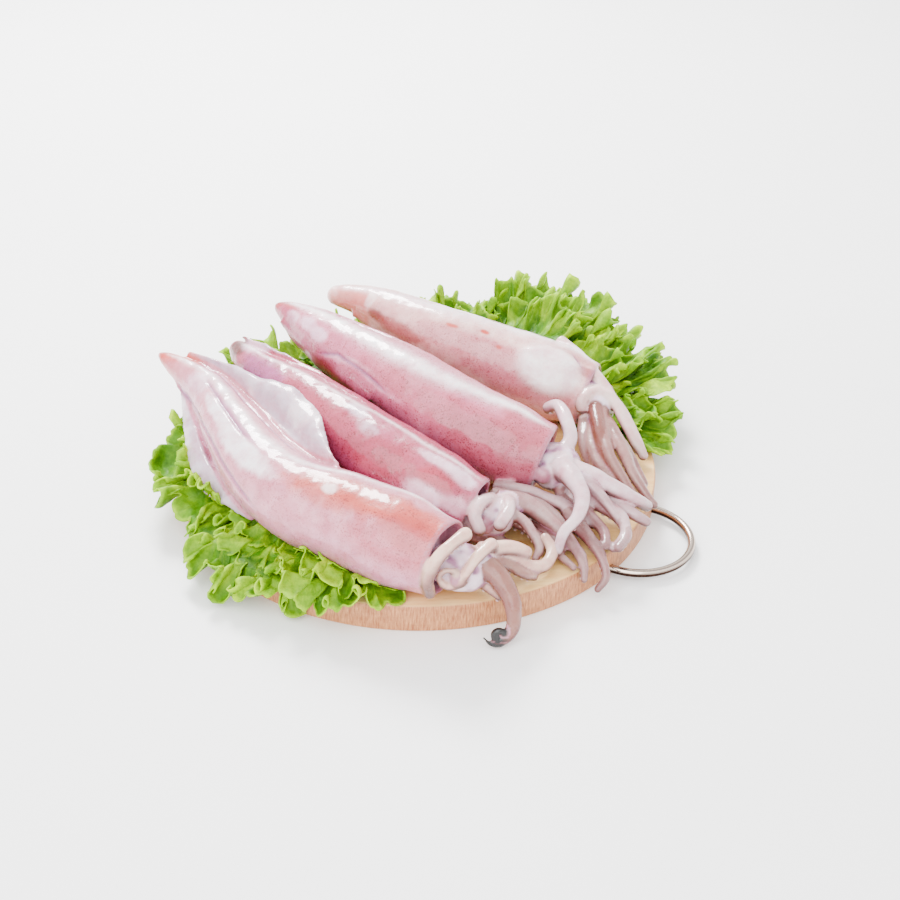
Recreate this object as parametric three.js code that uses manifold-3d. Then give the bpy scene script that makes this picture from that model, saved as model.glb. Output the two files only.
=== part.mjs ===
// Whole raw squid served on a round wooden board with frilly lettuce, in millimetres, +Z up.
// The origin is the centre of the board's underside. The squid's heads point towards +X and -Y.
import * as THREE from "three";
import { mergeVertices } from "three/addons/utils/BufferGeometryUtils.js";
import Module from "manifold-3d";

const wasm = await Module();
wasm.setup();

// Board
const BOARD_RADIUS = 150;
const BOARD_THICKNESS = 18;
const BOARD_EDGE = 1.5;
const BOARD_SIDES = 76;

// Bent wire handle, its two legs set in blind holes in the rim
const WIRE_RADIUS = 2.5;
const HANDLE_RADIUS = 34;
const HANDLE_CENTRE_OUT = 148;
const HANDLE_TURN = THREE.MathUtils.degToRad(-27.7);
const HANDLE_HEIGHT = 5;
const LEG_DEPTH = 15;
const WIRE_SIDES = 9;
const HANDLE_STEPS = 18;

// Clearance between pieces that touch, and how far past the rim a soft piece still rests flat
const GAP = 0.5;
const REST_HEIGHT = BOARD_THICKNESS + GAP;
const BELLY_MARGIN = 4;
const LEAF_MARGIN = 6;

// Mantle: its sections crowd towards the tail, and a lip stands round its mouth
const MANTLE_SIDES = 18;
const MANTLE_STATIONS = 12;
const MANTLE_CROWDING = 1.35;
const MANTLE_HEIGHT_SHARE = 0.97;
const TAIL_CAP = 0.6;
const MOUTH_DRAW = 0.17;
const MOUTH_START = 0.88;
const LIP = 2.6;
const LIP_ROUND = 1;
const LIP_SLOPE = 1;
const MOUTH_DEPTH = 5;

// Head: shares of its length and radius, with the eyes part sunk in its sides
const HEAD_SIDES = 14;
const HEAD_SHAPE = [[-0.12, 0], [-0.08, 0.6], [0.15, 0.84], [0.4, 1], [0.65, 0.96], [0.88, 0.66], [1, 0]];
const EYE_RADIUS = 6.2;
const EYE_SIDES = 7;
const EYE_ALONG = 0.4;
const EYE_SUNK = 0.35;
const EYE_LIFT = 0.3;

// Arms: round ends given as shares of the radius there
const ARM_SIDES = 6;
const ARM_STEP = 10;
const ARM_ROOT_CAP = 0.5;
const ARM_TIP_CAP = 0.8;
const STEEPEST_SIDEWAYS = 0.3;

// Fins: thinner towards the edge; a free one starts inside the mantle, a wrapped one lies on it
const FIN_THICKNESS = 1.8;
const FIN_THINNING = 0.35;
const FIN_WIDTH = 40;
const FIN_COLUMNS = 11;
const FIN_ROWS = 3;
const FIN_ROOT_DEPTH = 3;
const WRAP_STAND = 1.1;
const WRAP_ROOT_DEPTH = 2.6;
const WRAP_END = 0.06;
const WRAP_FULLNESS = 0.7;

// Heap of lettuce under the tails: an oval mound, higher towards its far end
const BED_CENTRE = [-45, 35];
const BED_TURN = THREE.MathUtils.degToRad(37);
const BED_HALF_LENGTH = 98;
const BED_HALF_WIDTH = 62;
const BED_HEIGHT = 35;
const BED_TILT = 0.45;
const BED_FULLNESS = 0.75;
const BED_SIDES = 22;
const BED_RINGS = 5;
const BED_LOBES = { count: 7, depth: 0.07, phase: 1 };
const BED_LUMPS = [
  { count: 5, height: 0.16, phase: 0.6, twist: 0 },
  { count: 9, height: 0.1, phase: 0, twist: 6 },
];

// Lettuce leaves: fans with drawn-in sides and lobes, whose folds lean sideways
const LEAF_THICKNESS = 1.1;
const LEAF_COLUMNS = 14;
const LEAF_ROWS = 4;
const LEAF_START = 0.1;
const LEAF_SIDE_DRAW = 0.16;
const LEAF_RISE = 1.6;
const LEAF_LEAN = 0.5;
const LEAF_LOWEST = 4;
const LOBE_DEPTH = 0.05;

// Each squid: its centre line from tail tip to mouth, the head's centre line, and its arms as
// centre lines with the radius at root and tip. A fin is a free sheet with the outline given in
// edge, or it is wrapped round the mantle from one angle to another.
const SQUIDS = [
  {
    name: "squid_1", radius: 28, taper: 0.66, blunt: 0.004, colour: 0xe3bcc2,
    spine: [[-169, 56, 62], [-136, 23, 56], [-113, -20, 52], [-93, -58, 48], [-69, -86, 46],
      [-42, -102, 45], [-13, -121, 44], [14, -138, 43]],
    head: { line: [[10, -137, 40], [26, -137, 36], [40, -134, 36]], radius: 14 },
    arms: [
      { line: [[26, -136, 60], [17, -136, 54], [10, -138, 45], [5, -140, 33], [6, -142, 24]],
        root: 3.6, tip: 3.4 },
      { line: [[38, -130, 44], [35, -143, 46], [27, -152, 40], [21, -148, 30], [14, -140, 26]],
        root: 4.2, tip: 4 },
      { line: [[34, -130, 42], [54, -127, 36], [63, -126, 28], [72, -121, 25],
        [77, -110, 27], [73, -101, 30]],
        root: 5, tip: 3.2 },
      { line: [[34, -132, 44], [52, -128, 43], [61, -125, 37]], root: 5, tip: 4 },
      { line: [[32, -136, 42], [44, -144, 35], [51, -151, 27], [53, -157, 18],
        [52, -160, 10], [48, -163, 5], [43, -165, 4.6]], root: 7, tip: 2.4 },
      { line: [[28, -134, 34], [38, -141, 27], [46, -146, 23]], root: 4.4, tip: 3.6 },
    ],
    fins: [
      { from: 0.1, to: 0.56, rootAngle: -35, bulge: 5,
        edge: [[-158, 37, 56], [-151, 19, 51], [-147, -5, 42], [-141, -32, 34],
          [-133, -50, 30], [-115, -68, 28], [-98, -83, 29]] },
      { from: 0.08, to: 0.62, rootAngle: 150, bulge: 6,
        edge: [[-147, 46, 64], [-117, 25, 70], [-102, 8, 74], [-89, -2, 76],
          [-70, -14, 76], [-55, -31, 71], [-46, -60, 60]] },
    ],
  },
  {
    name: "squid_2", radius: 24, taper: 0.56, blunt: 0.03, colour: 0xcf8fa6,
    spine: [[-119, 60, 64], [-98, 30, 62], [-67, -3, 61], [-39, -35, 58], [-11, -59, 52],
      [12, -76, 46], [32, -86, 40]],
    head: { line: [[28, -86, 38], [42, -88, 36], [56, -84, 36]], radius: 13 },
    arms: [
      { line: [[43, -85, 46], [36, -96, 51], [32, -104, 48], [35, -111, 42]], root: 4.2, tip: 4 },
      { line: [[52, -83, 44], [52, -96, 46], [46, -108, 43]], root: 4.4, tip: 4.2 },
      { line: [[46, -78, 40], [64, -79, 37], [79, -88, 30], [90, -101, 24],
        [95, -116, 21], [95, -122, 15]],
        root: 7.5, tip: 2.4 },
      { line: [[44, -84, 34], [62, -88, 28], [73, -97, 24], [83, -110, 22], [89, -119, 21.5]],
        root: 4.6, tip: 2.4 },
    ],
    fins: [
      { from: 0.06, to: 0.5, rootAngle: 120, bulge: 3,
        edge: [[-115, 59, 72], [-100, 46, 74], [-88, 32, 76], [-75, 20, 75], [-58, 6, 73], [-46, -7, 70]] },
    ],
  },
  {
    name: "squid_3", radius: 27, taper: 0.6, blunt: 0.01, colour: 0xdb9db0,
    spine: [[-94, 95, 76], [-74, 74, 75], [-47, 45, 72], [-16, 16, 69], [14, -8, 60.5],
      [45, -25, 50], [76, -37, 42]],
    head: { line: [[70, -37, 42], [84, -44, 40], [98, -50, 38]], radius: 15 },
    arms: [
      { line: [[84, -42, 46], [92, -33, 53], [90, -19, 60], [86, -5, 60], [81, 0, 55]],
        root: 4.8, tip: 4 },
      { line: [[88, -46, 46], [103, -57, 45], [119, -65, 39], [131, -66, 31], [138, -63, 25]],
        root: 5.2, tip: 3.8 },
      { line: [[86, -52, 46], [93, -67, 46], [96, -82, 43], [92, -94, 38], [84, -101, 33]],
        root: 5, tip: 3.6 },
      { line: [[96, -52, 36], [114, -65, 31], [128, -74, 27], [136, -77, 23]], root: 4.8, tip: 3 },
      { line: [[92, -54, 34], [108, -70, 31], [119, -80, 28], [122, -92, 25], [116, -103, 23.5]],
        root: 5, tip: 3 },
      { line: [[90, -56, 32], [101, -76, 28], [109, -89, 25], [109, -101, 23.5]], root: 4.8, tip: 3 },
      { line: [[86, -56, 32], [91, -82, 27], [100, -98, 25], [106, -111, 21],
        [108, -118, 14], [103, -121, 7]],
        root: 4.8, tip: 2.4 },
    ],
    fins: [
      { from: 0.07, to: 0.52, rootAngle: 8, wrap: -62 },
      { from: 0.07, to: 0.52, rootAngle: 172, wrap: 62 },
    ],
  },
  {
    name: "squid_4", radius: 26, taper: 0.72, blunt: 0.08, colour: 0xe8c6bd,
    spine: [[-58, 115, 74], [-36, 107, 73], [-9, 88, 69], [20, 71, 63], [53, 61, 54],
      [83, 50, 47], [110, 38, 42]],
    head: { line: [[102, 38, 43], [112, 29, 43], [117, 12, 39]], radius: 13.5 },
    arms: [
      { line: [[113, 16, 40], [109, -8, 35], [111, -26, 31], [119, -42, 27]], root: 6, tip: 4 },
      { line: [[116, 14, 43], [117, -22, 38], [123, -40, 33], [131, -55, 26], [137, -60, 23]],
        root: 5, tip: 2.6 },
      { line: [[117, 14, 40], [125, -14, 38], [132, -38, 30], [140, -52, 23], [143, -58, 22]],
        root: 5.4, tip: 2.6 },
      { line: [[104, 14, 44], [104, 17, 50], [112, 23, 53], [123, 20, 50], [131, 10, 42],
        [137, 1, 33], [142, -8, 24]],
        root: 4, tip: 3.4 },
    ],
    fins: [
      { from: 0.1, to: 0.5, rootAngle: -12, wrap: -58 },
      { from: 0.1, to: 0.5, rootAngle: 192, wrap: 58 },
    ],
  },
];

// Each leaf: a fan from its base on the board, with its heading and spread in degrees, its reach,
// how far it lies above the board, how far its margin rises and tilts, and its ruffles.
const LEAVES = [
  { base: [-70, -12], heading: 195, spread: 68, reach: 92,
    lift: 1, rise: 9, tilt: -8, ruffle: 5, waves: 3, phase: 0.4 },
  { base: [-56, -50], heading: 232, spread: 62, reach: 98,
    lift: 3, rise: -11, tilt: 0, ruffle: 6, waves: 3, phase: 1.2 },
  { base: [-32, -76], heading: 255, spread: 66, reach: 82,
    lift: 4, rise: -1, tilt: 0, ruffle: 6, waves: 3, phase: 0.2 },
  { base: [-62, 42], heading: 152, spread: 50, reach: 86,
    lift: 4, rise: 22, tilt: 0, ruffle: 5, waves: 2.5, phase: 1.6 },
  { base: [-26, 62], heading: 112, spread: 60, reach: 84,
    lift: 3, rise: 14, tilt: 0, ruffle: 5, waves: 2.5, phase: 0.9 },
  { base: [18, 82], heading: 77, spread: 50, reach: 92,
    lift: 1, rise: 24, tilt: 0, ruffle: 6, waves: 2.5, phase: 2.2 },
  { base: [44, 74], heading: 49, spread: 50, reach: 118,
    lift: 6, rise: 24, tilt: 0, ruffle: 6, waves: 3, phase: 0.6 },
  { base: [66, 54], heading: 30, spread: 48, reach: 116,
    lift: 1, rise: 14, tilt: 0, ruffle: 6, waves: 3, phase: 1.5 },
  { base: [86, 36], heading: 4, spread: 58, reach: 88,
    lift: 4, rise: -3, tilt: 0, ruffle: 5, waves: 3, phase: 2.9 },
];

const UP = new THREE.Vector3(0, 0, 1);
const point = (xyz) => new THREE.Vector3(...xyz);
const lineThrough = (rows) => new THREE.CatmullRomCurve3(rows.map(point), false, "centripetal");

// A closed geometry as a solid, with shared vertices merged, collapsed faces dropped and faces outward.
function solidOf(geometry) {
  const bare = new THREE.BufferGeometry().setAttribute("position", geometry.getAttribute("position"));
  bare.setIndex(geometry.index);
  const merged = mergeVertices(bare, 1e-4);
  const places = merged.getAttribute("position");
  const corner = [new THREE.Vector3(), new THREE.Vector3(), new THREE.Vector3()];
  const triangles = [];
  let volume = 0;
  for (let i = 0; i < merged.index.count; i += 3) {
    const face = [0, 1, 2].map((k) => merged.index.getX(i + k));
    if (new Set(face).size < 3) continue;
    face.forEach((vertex, k) => corner[k].fromBufferAttribute(places, vertex));
    volume += corner[0].dot(corner[1].clone().cross(corner[2]));
    triangles.push(...face);
  }
  if (volume < 0) triangles.reverse();
  return new wasm.Manifold(
    new wasm.Mesh({ numProp: 3, vertProperties: places.array, triVerts: new Uint32Array(triangles) }),
  );
}

// The largest body of a solid, without the loose scraps that a cut leaves.
function largest(solid) {
  return solid.decompose().reduce((best, body) => (body.volume() > best.volume() ? body : best));
}

const joined = (solids) => solids.reduce((whole, piece) => whole.add(piece));
const cutBy = (solid, tools) => tools.reduce((rest, tool) => rest.subtract(tool), solid);

// The place and direction at a distance along a line, which runs on straight past both its ends.
function along(line, length, distance) {
  const share = THREE.MathUtils.clamp(distance / length, 0, 1);
  const direction = line.getTangentAt(share);
  const place = line.getPointAt(share).addScaledVector(direction, distance - share * length);
  return { place, direction };
}

// A turned shape bent along a line. Each ring is [distance, radius]; side and up span its section.
// A level section keeps its side horizontal, and a free one turns as little as it can.
function bentShape(line, rings, sides, level, heightShare = 1) {
  const length = line.getLength();
  const outline = rings.map(([distance, radius]) => new THREE.Vector2(radius, distance));
  const shape = new THREE.LatheGeometry(outline, sides);
  let side = new THREE.Vector3(1, 0, 0);
  const frames = rings.map(([distance], ring) => {
    const { place, direction } = along(line, length, distance);
    const sideways = direction.clone().cross(UP);
    if (level || (ring === 0 && sideways.length() > STEEPEST_SIDEWAYS)) side = sideways;
    side = side.clone().addScaledVector(direction, -side.dot(direction)).normalize();
    return { place, side, up: side.clone().cross(direction) };
  });
  const places = shape.getAttribute("position");
  for (let i = 0; i < places.count; i += 1) {
    const { place, side: across, up } = frames[i % rings.length];
    const spot = place.clone().addScaledVector(across, places.getX(i));
    spot.addScaledVector(up, places.getZ(i) * heightShare);
    places.setXYZ(i, spot.x, spot.y, spot.z);
  }
  return shape;
}

// What lies over the board is kept on top of it, so that a soft belly rests flat.
function restedOnBoard(geometry, height = REST_HEIGHT) {
  const places = geometry.getAttribute("position");
  for (let i = 0; i < places.count; i += 1) {
    if (Math.hypot(places.getX(i), places.getY(i)) < BOARD_RADIUS + BELLY_MARGIN) {
      places.setZ(i, Math.max(places.getZ(i), height));
    }
  }
  return geometry;
}

// A closed sheet over a grid: both faces are split alike and a wall joins their borders.
function sheetSolid(columns, rows, placeOf) {
  const grid = new THREE.PlaneGeometry(1, 1, columns, rows);
  const spots = grid.getAttribute("uv");
  const faces = Array.from(grid.index.array);
  const places = [];
  for (const face of [1, -1]) {
    for (let i = 0; i < spots.count; i += 1) {
      places.push(...placeOf(spots.getX(i), spots.getY(i), face).toArray());
    }
  }
  const edges = new Set();
  const index = [...faces];
  for (let i = 0; i < faces.length; i += 3) {
    const [a, b, c] = faces.slice(i, i + 3);
    [[a, b], [b, c], [c, a]].forEach(([from, to]) => edges.add(`${from} ${to}`));
    index.push(c + spots.count, b + spots.count, a + spots.count);
  }
  for (const edge of edges) {
    const [from, to] = edge.split(" ").map(Number);
    if (edges.has(`${to} ${from}`)) continue;
    index.push(to, from, from + spots.count, to, from + spots.count, to + spots.count);
  }
  const sheet = new THREE.BufferGeometry();
  sheet.setAttribute("position", new THREE.Float32BufferAttribute(places, 3));
  return sheet.setIndex(index);
}

function mantleRadius(squid, share) {
  const swell = Math.sin((Math.PI / 2) * ((share + squid.blunt) / (1 + squid.blunt)) ** squid.taper);
  return squid.radius * swell * (1 - MOUTH_DRAW * THREE.MathUtils.smoothstep(share, MOUTH_START, 1));
}

// The mantle: a long bag, widest behind its mouth, whose lip stands round a shallow recess.
function mantleSolid(squid, spine, grow) {
  const length = spine.getLength();
  const rings = [[-TAIL_CAP * mantleRadius(squid, 0) - grow, 0]];
  for (let station = 0; station <= MANTLE_STATIONS; station += 1) {
    const share = (station / MANTLE_STATIONS) ** MANTLE_CROWDING;
    rings.push([share * length, mantleRadius(squid, share) + grow]);
  }
  const mouth = mantleRadius(squid, 1);
  const lipEnd = length + LIP_ROUND;
  const recess = length - MOUTH_DEPTH;
  if (grow > 0) rings.push([lipEnd + grow, mouth + grow], [lipEnd + grow, 0]);
  else rings.push([lipEnd, mouth - LIP], [recess, mouth - LIP - LIP_SLOPE], [recess, 0]);
  const bag = bentShape(spine, rings, MANTLE_SIDES, true, MANTLE_HEIGHT_SHARE);
  return solidOf(restedOnBoard(bag, REST_HEIGHT - grow));
}

// The head with an eye on each side.
function headSolid({ line: rows, radius }, grow) {
  const line = lineThrough(rows);
  const length = line.getLength();
  const rings = HEAD_SHAPE.map(([share, width], ring) => [
    share * length + (ring === 0 ? -grow : 0) + (ring === HEAD_SHAPE.length - 1 ? grow : 0),
    width === 0 ? 0 : width * radius + grow,
  ]);
  const head = solidOf(restedOnBoard(bentShape(line, rings, HEAD_SIDES, true), REST_HEIGHT - grow));
  const { place, direction } = along(line, length, length * EYE_ALONG);
  const side = direction.clone().cross(UP).normalize();
  const eyes = [1, -1].map((hand) => {
    const centre = place.clone().addScaledVector(side, hand * (radius - EYE_RADIUS * EYE_SUNK));
    centre.z += EYE_RADIUS * EYE_LIFT;
    const ball = new THREE.SphereGeometry(EYE_RADIUS + grow, EYE_SIDES, EYE_SIDES - 2);
    return solidOf(ball.translate(...centre.toArray()));
  });
  return joined([head, ...eyes]);
}

// An arm: a tapered tube with round ends along a free line.
function armSolid({ line: rows, root, tip }, grow) {
  const line = lineThrough(rows);
  const length = line.getLength();
  const steps = Math.ceil(length / ARM_STEP);
  const rings = [[-root * ARM_ROOT_CAP - grow, 0]];
  for (let step = 0; step <= steps; step += 1) {
    const share = step / steps;
    rings.push([share * length, THREE.MathUtils.lerp(root, tip, share) + grow]);
  }
  rings.push([length + tip * ARM_TIP_CAP + grow, 0]);
  return solidOf(bentShape(line, rings, ARM_SIDES, false));
}

// A spot on the mantle at a share of its length and an angle from the near side up.
function onMantle(squid, spine, share, degrees, stand) {
  const { place, direction } = along(spine, 1, share);
  const side = direction.clone().cross(UP).normalize();
  const up = side.clone().cross(direction);
  const angle = THREE.MathUtils.degToRad(degrees);
  const radius = mantleRadius(squid, share) + stand;
  place.addScaledVector(side, radius * Math.cos(angle));
  return place.addScaledVector(up, radius * MANTLE_HEIGHT_SHARE * Math.sin(angle));
}

// A fin: a thin sheet from a root sunk in the mantle, either out to a free edge or wrapped round it.
function finSolid(squid, spine, fin, grow) {
  const rim = fin.edge && lineThrough(fin.edge);
  const spill = grow / FIN_WIDTH;
  const middle = (t, w) => {
    const share = THREE.MathUtils.lerp(fin.from, fin.to, t);
    if (!rim) {
      const stage = THREE.MathUtils.lerp(WRAP_END, 1 - WRAP_END, t);
      const reach = fin.wrap * Math.sin(Math.PI * stage) ** WRAP_FULLNESS;
      const stand = WRAP_STAND - WRAP_ROOT_DEPTH * (1 - w) ** 3;
      return onMantle(squid, spine, share, fin.rootAngle + reach * w, stand);
    }
    const root = onMantle(squid, spine, share, fin.rootAngle, -FIN_ROOT_DEPTH);
    const spot = root.lerp(along(rim, rim.getLength(), t * rim.getLength()).place, w);
    spot.z += fin.bulge * Math.sin(Math.PI * w);
    return spot;
  };
  const sheet = sheetSolid(FIN_COLUMNS, FIN_ROWS, (column, row, face) => {
    const t = THREE.MathUtils.lerp(-spill, 1 + spill, column);
    const w = row * (1 + spill);
    const spot = middle(t, w);
    const step = 0.01;
    const lengthwise = middle(t + step, w).sub(middle(t - step, w));
    const across = middle(t, w + step).sub(middle(t, Math.max(w - step, 0)));
    const thickness = FIN_THICKNESS * (1 - FIN_THINNING * w) + 2 * grow;
    return spot.addScaledVector(lengthwise.cross(across).normalize(), (face * thickness) / 2);
  });
  return solidOf(sheet);
}

// One squid in one piece; grown by a clearance, it cuts room for itself in its neighbours.
function squidSolid(squid, grow = 0) {
  const spine = lineThrough(squid.spine);
  return joined([
    mantleSolid(squid, spine, grow),
    headSolid(squid.head, grow),
    ...squid.arms.map((arm) => armSolid(arm, grow)),
    ...squid.fins.map((fin) => finSolid(squid, spine, fin, grow)),
  ]);
}

// The heap of crumpled lettuce that carries the tails: a lumpy dome with a flat underside.
function bedSolid(grow = 0) {
  const outline = [new THREE.Vector2(0, 0), new THREE.Vector2(1, 0)];
  for (let ring = BED_RINGS - 1; ring >= 0; ring -= 1) {
    const share = ring / BED_RINGS;
    outline.push(new THREE.Vector2(share, (1 - share * share) ** BED_FULLNESS));
  }
  const mound = new THREE.LatheGeometry(outline, BED_SIDES);
  const places = mound.getAttribute("position");
  for (let i = 0; i < places.count; i += 1) {
    const [lengthwise, across] = [places.getX(i), places.getZ(i)];
    const angle = Math.atan2(across, lengthwise);
    const reach = Math.hypot(lengthwise, across);
    const scallop = 1 + BED_LOBES.depth * Math.sin(BED_LOBES.count * angle + BED_LOBES.phase);
    const lumps = BED_LUMPS.map((lump) => (
      lump.height * Math.sin(lump.count * angle + lump.phase + lump.twist * reach)
    ));
    const x = lengthwise * (BED_HALF_LENGTH * scallop + 2 * grow);
    const y = across * (BED_HALF_WIDTH * scallop + 2 * grow);
    const swell = (1 + BED_TILT * lengthwise) * (1 + reach * (lumps[0] + lumps[1]));
    const height = places.getY(i) * BED_HEIGHT * swell;
    const spot = new THREE.Vector3(x, y, REST_HEIGHT + (height > 0 ? height + grow : -grow));
    spot.applyAxisAngle(UP, BED_TURN);
    places.setXYZ(i, spot.x + BED_CENTRE[0], spot.y + BED_CENTRE[1], spot.z);
  }
  return solidOf(mound);
}

// A lettuce leaf: a ruffled fan, thin all over, flat near its base.
function leafSolid(leaf, grow = 0) {
  const sheet = sheetSolid(LEAF_COLUMNS, LEAF_ROWS, (across, out, face) => {
    const reach = THREE.MathUtils.lerp(LEAF_START, 1, out);
    const turn = across * 2 - 1;
    const wave = leaf.waves * Math.PI * turn + leaf.phase;
    const angle = THREE.MathUtils.degToRad(leaf.heading + (turn * leaf.spread) / 2);
    const drawn = 1 - LEAF_SIDE_DRAW * turn * turn + LOBE_DEPTH * reach * Math.cos(2 * wave);
    const distance = leaf.reach * reach * drawn;
    const fold = LEAF_LEAN * leaf.ruffle * reach ** 2 * Math.cos(wave);
    const x = leaf.base[0] + distance * Math.cos(angle) - fold * Math.sin(angle);
    const y = leaf.base[1] + distance * Math.sin(angle) + fold * Math.cos(angle);
    const slope = (leaf.rise + leaf.tilt * turn) * reach ** LEAF_RISE;
    const middle = leaf.lift + slope + leaf.ruffle * reach ** 2 * Math.sin(wave);
    const lowest = Math.hypot(x, y) < BOARD_RADIUS + LEAF_MARGIN ? 0 : LEAF_LOWEST - REST_HEIGHT;
    const z = REST_HEIGHT + LEAF_THICKNESS / 2 + Math.max(middle, lowest);
    return new THREE.Vector3(x, y, z + face * (LEAF_THICKNESS / 2 + grow));
  });
  return solidOf(sheet);
}

// The handle: a half ring of wire with two straight legs that go into the rim.
function handleSolid(grow = 0, extraDepth = 0) {
  const out = new THREE.Vector3(Math.cos(HANDLE_TURN), Math.sin(HANDLE_TURN), 0);
  const side = UP.clone().cross(out);
  const centre = out.clone().multiplyScalar(HANDLE_CENTRE_OUT).setZ(HANDLE_HEIGHT);
  const spotAt = (outward, sideways) => (
    centre.clone().addScaledVector(out, outward).addScaledVector(side, sideways)
  );
  const depth = LEG_DEPTH + extraDepth;
  const spots = [spotAt(-depth, -HANDLE_RADIUS), spotAt(-depth / 2, -HANDLE_RADIUS)];
  for (let step = 0; step <= HANDLE_STEPS; step += 1) {
    const angle = (step / HANDLE_STEPS - 0.5) * Math.PI;
    spots.push(spotAt(HANDLE_RADIUS * Math.cos(angle), HANDLE_RADIUS * Math.sin(angle)));
  }
  spots.push(spotAt(-depth / 2, HANDLE_RADIUS), spotAt(-depth, HANDLE_RADIUS));
  const line = new THREE.CatmullRomCurve3(spots, false, "centripetal");
  const length = line.getLength();
  const steps = HANDLE_STEPS + 6;
  const rings = [[0, 0]];
  for (let step = 0; step <= steps; step += 1) rings.push([(step / steps) * length, WIRE_RADIUS + grow]);
  rings.push([length, 0]);
  return solidOf(bentShape(line, rings, WIRE_SIDES, true));
}

// The board: a turned disc with softened edges, grown by a clearance when it is a cutter.
function boardSolid(grow = 0) {
  const radius = BOARD_RADIUS + grow;
  const outline = [
    [0, -grow],
    [radius - BOARD_EDGE, -grow],
    [radius, BOARD_EDGE - grow],
    [radius, BOARD_THICKNESS - BOARD_EDGE + grow],
    [radius - BOARD_EDGE, BOARD_THICKNESS + grow],
    [0, BOARD_THICKNESS + grow],
  ];
  const disc = new THREE.LatheGeometry(outline.map(([x, y]) => new THREE.Vector2(x, y)), BOARD_SIDES);
  return solidOf(disc.rotateX(Math.PI / 2));
}

function meshOf(name, solid, colour, roughness, metalness = 0) {
  const { vertProperties, triVerts } = solid.getMesh();
  const geometry = new THREE.BufferGeometry();
  geometry.setAttribute("position", new THREE.BufferAttribute(vertProperties, 3));
  geometry.setIndex(new THREE.BufferAttribute(triVerts, 1));
  geometry.computeVertexNormals();
  const material = new THREE.MeshStandardMaterial({ color: colour, roughness, metalness });
  const mesh = new THREE.Mesh(geometry, material);
  mesh.name = name;
  return mesh;
}

const platter = new THREE.Group();
const handle = handleSolid();
const board = boardSolid().subtract(handleSolid(GAP, GAP));
platter.add(meshOf("board", board, 0xe6c9a3, 0.6));
platter.add(meshOf("handle", handle, 0x8f8a86, 0.22, 1));

const cutters = [boardSolid(GAP), handleSolid(GAP)];
for (const squid of SQUIDS) {
  const solid = largest(cutBy(squidSolid(squid), cutters));
  platter.add(meshOf(squid.name, solid, squid.colour, 0.3));
  cutters.push(squidSolid(squid, GAP));
}
platter.add(meshOf("lettuce_bed", largest(cutBy(bedSolid(), cutters)), 0x7fb23a, 0.6));
cutters.push(bedSolid(GAP));
LEAVES.forEach((leaf, i) => {
  const solid = largest(cutBy(leafSolid(leaf), cutters));
  platter.add(meshOf(`leaf_${i + 1}`, solid, 0x8fc43a, 0.55));
  cutters.push(leafSolid(leaf, GAP));
});

export default platter;
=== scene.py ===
import bmesh
import bpy
import math
import numpy as np
from mathutils import Matrix, Vector, noise
from mathutils.bvhtree import BVHTree
from mathutils.kdtree import KDTree


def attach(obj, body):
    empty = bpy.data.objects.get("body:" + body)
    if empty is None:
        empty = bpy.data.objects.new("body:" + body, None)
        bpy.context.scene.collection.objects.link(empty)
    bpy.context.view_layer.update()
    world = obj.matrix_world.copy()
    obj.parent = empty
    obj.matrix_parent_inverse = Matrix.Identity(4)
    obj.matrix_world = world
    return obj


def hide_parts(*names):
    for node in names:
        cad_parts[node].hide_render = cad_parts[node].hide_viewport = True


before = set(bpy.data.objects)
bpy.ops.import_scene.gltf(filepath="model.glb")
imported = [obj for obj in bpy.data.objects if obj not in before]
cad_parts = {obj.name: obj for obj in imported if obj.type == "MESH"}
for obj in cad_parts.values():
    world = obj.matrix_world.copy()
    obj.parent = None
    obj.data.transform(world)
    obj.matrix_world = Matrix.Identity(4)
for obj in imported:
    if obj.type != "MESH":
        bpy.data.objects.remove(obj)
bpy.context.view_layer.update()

MM = 0.001
UP = np.array([0.0, 0.0, 1.0])

# Board and handle
BOARD_RADIUS = 150
BOARD_THICKNESS = 18
BOARD_EDGE = 1.6
BOARD_RINGS = (0, 60, 110)
BOARD_STEPS = 240
EDGE_STEPS = 6
WOOD_TURN = math.radians(24)
WIRE_RADIUS = 2.5
HANDLE_RADIUS = 34
HANDLE_CENTRE_OUT = 148
HANDLE_TURN = math.radians(-27.7)
HANDLE_HEIGHT = 5
LEG_DEPTH = 15
HOLE_RADIUS = WIRE_RADIUS + 0.3
HOLE_SIDES = 24
ARC_STEPS = 18
WIRE_STEPS = 180
WIRE_SIDES = 28
REST_HEIGHT = BOARD_THICKNESS + 0.5

# Squid
MOUTH_DRAW = 0.17
MOUTH_START = 0.88
MANTLE_HEIGHT_SHARE = 0.97
MANTLE_STATIONS = 110
MANTLE_SIDES = 72
MOUTH_LIP = [(0.9, 0.6), (1.2, 1.4), (0.8, 2.2), (-2, 3), (-6, 3.6), (-10, 4.5)]
MOUTH_DEPTH = 10.5
HEAD_SHAPE = [(-0.12, 0), (-0.1, 0.4), (-0.05, 0.66), (0.15, 0.84), (0.4, 1), (0.65, 0.96),
              (0.82, 0.78), (0.93, 0.5), (1, 0)]
HEAD_RINGS = 24
HEAD_SIDES = 40
EYE_PLACE = 0.4
EYE_RADIUS = 6.2
EYE_RINGS = 14
EYE_SIDES = 20
ARM_STEP = 1.6
ARM_SIDES = 18
FIN_THICKNESS = 1.8
FIN_COLUMNS = 90
FIN_ROWS = 30
SKIN_VOXEL = 0.00096
SPINE_MARKS = 400
ARM_MARKS = 80
HEAD_MARKS = 20
RING_POINTS = 8

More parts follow.
